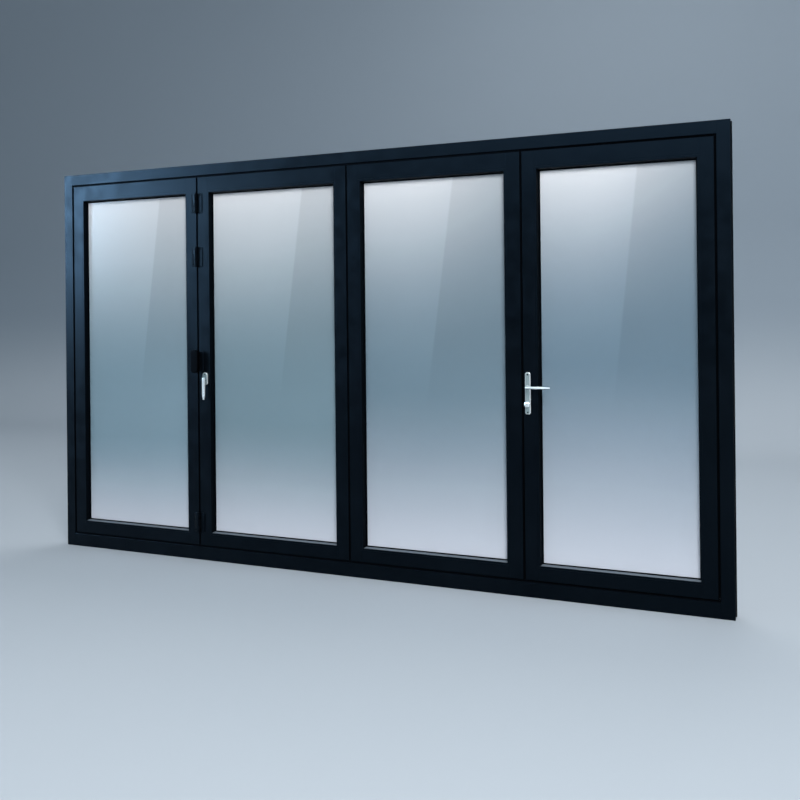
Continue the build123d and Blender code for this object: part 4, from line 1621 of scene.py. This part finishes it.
def dress_nodes(dresser: Dresser, plan: DoorPlan) -> None:
    """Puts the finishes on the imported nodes, and smooth copies in the place of the rounded ones.

    Args:
        dresser: dresses the nodes.
        plan: the number of leaves, and where the hinge lines run.
    """
    coat, zinc, rubber, chrome = PowderCoat(), ZincSteel(), SealRubber(), SatinChrome()
    # The beads' upward faces carry a bright painted highlight.
    beads = PowderCoat("near_black_bead_coat_painted_highlight", painted_top_highlight=(0.16, 0.19, 0.22, 1.0))
    dresser.coat(coat, "head", "left_jamb", "right_jamb", "sill")
    for n in range(1, plan.leaves + 1):
        dresser.coat(coat, f"leaf_{n}_left_stile", f"leaf_{n}_right_stile", f"leaf_{n}_rails")
        dresser.coat(beads, f"leaf_{n}_glazing_beads")
        dresser.coat(rubber, f"leaf_{n}_gaskets")
    dresser.coat(rubber, "weather_seals")
    dresser.coat(DrawnAluminium(), "head_track")
    dresser.coat(DrawnAluminium("dark_anodised_track", bright=(0.020, 0.023, 0.028, 1.0),
                                dull=(0.010, 0.012, 0.015, 1.0)), "sill_track")
    dresser.coat(zinc, "strike_plate", "lock_faceplate")
    # The backplates and the shootbolt base paint their flat faces darker, as painted shade.
    dresser.coat(SatinChrome("satin_chrome_plate_painted_shade", painted_flat_shade=(0.40, 0.50, 0.51, 1.0)),
                 "inner_backplate", "outer_backplate", "lock_cylinder")
    dresser.coat(SatinChrome("satin_chrome_base_painted_shade", painted_flat_shade=(0.26, 0.33, 0.34, 1.0)), "shootbolt_base")
    for name, axis_x, body in (("left_jamb_hinges", plan.left_line, Rides.FRAME),
                               ("fold_hinges_leaf_1_to_2", plan.fold_line, Rides.FRAME),
                               ("fold_hinges_leaf_2_to_3", plan.carriage_line, Rides.FRAME),
                               ("door_hinges_on_jamb", plan.door_line, Rides.FRAME),
                               ("door_hinges_on_leaf", plan.door_line, Rides.DOOR)):
        dresser.smooth(HingeCoat(f"{name}_coat", axis_x), body, Slot.HINGE, name)
    dresser.smooth(HardwareBlack(), Rides.FRAME, Slot.HINGE, "pull_grip")
    dresser.smooth(zinc, Rides.FRAME, Slot.STEEL, "guide_carriages")
    dresser.smooth(chrome, Rides.LEVERS, Slot.HANDLE, "inner_lever", "outer_lever")
    dresser.smooth(chrome, Rides.THUMBTURN, Slot.HANDLE, "thumbturn")
    dresser.smooth(chrome, Rides.BOLT, Slot.HANDLE, "shootbolt_handle")
    log.info("finishes on %d nodes", len(dresser.nodes))


def build_glass(dresser: Dresser) -> None:
    """Builds the four glass units; the nearer to the right, the deeper the painted shade of the middle tone
    and the quicker the painted reflections fade.

    Args:
        dresser: gives the pieces their finish and body.
    """
    # Each pane's middle tone is painted deeper the further right it stands, as painted shade.
    units = (
        GlassUnit(1, Rides.FRAME, PaneTones(
            slate=(0.213, 0.318, 0.380, 1.0), edge_head_x=-1.280, edge_foot_x=-1.544,
            head_power=1.70, foot_rise=0.27, fall=0.05)),
        GlassUnit(2, Rides.FRAME, PaneTones(
            slate=(0.178, 0.268, 0.315, 1.0), edge_head_x=-0.297, edge_foot_x=-0.562,
            head_power=1.80, foot_rise=0.33, fall=0.17)),
        GlassUnit(3, Rides.FRAME, PaneTones(
            slate=(0.150, 0.226, 0.278, 1.0), edge_head_x=0.607, edge_foot_x=0.340,
            head_power=2.05, foot_rise=0.44, fall=0.44)),
        GlassUnit(4, Rides.DOOR, PaneTones(
            slate=(0.136, 0.208, 0.266, 1.0), edge_head_x=1.559, edge_foot_x=1.346,
            head_power=2.35, foot_rise=0.51, fall=0.56)),
    )
    perforations = units[0].perforations()
    for unit in units:
        unit.build(dresser, perforations)


def build_hinge_lines(dresser: Dresser, plan: DoorPlan, fasteners: Fasteners) -> None:
    """Builds the screws and the pin caps of the four lines of hinges.

    Args:
        dresser: gives the pieces their finish and body.
        plan: where the lines run.
        fasteners: grows the screws.
    """
    on_frame, on_leaf = plan.frame_face, plan.leaf_face
    for line in (
            HingeLine("left_jamb_hinge", plan.left_line, 1, plan.outside_heights,
                      ((-1, on_frame, Rides.FRAME), (1, on_leaf, Rides.FRAME))),
            HingeLine("fold_hinge_1_to_2", plan.fold_line, -1, plan.fold_heights,
                      ((-1, on_leaf, Rides.FRAME), (1, on_leaf, Rides.FRAME))),
            HingeLine("fold_hinge_2_to_3", plan.carriage_line, 1, plan.carriage_heights,
                      ((-1, on_leaf, Rides.FRAME), (1, on_leaf, Rides.FRAME)), bare_ends=((0, -1), (2, 1))),
            HingeLine("door_hinge", plan.door_line, 1, plan.outside_heights,
                      ((1, on_frame, Rides.FRAME), (-1, on_leaf, Rides.DOOR)))):
        line.build(dresser, fasteners)


def main() -> None:
    """Builds every sub-assembly in order."""
    logging.basicConfig(level=logging.INFO, format="%(name)s: %(message)s")
    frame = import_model()
    plan, dresser, fasteners = DoorPlan(), Dresser(frame), Fasteners()
    dress_nodes(dresser, plan)
    build_glass(dresser)
    build_hinge_lines(dresser, plan, fasteners)
    LockSet(plan).build(dresser, fasteners)
    LipSeals(plan).build(dresser)
    CornerPads(plan).build(dresser)
    TrackPile().build(dresser)
    Studio().build()


if __name__ == "__main__":
    main()
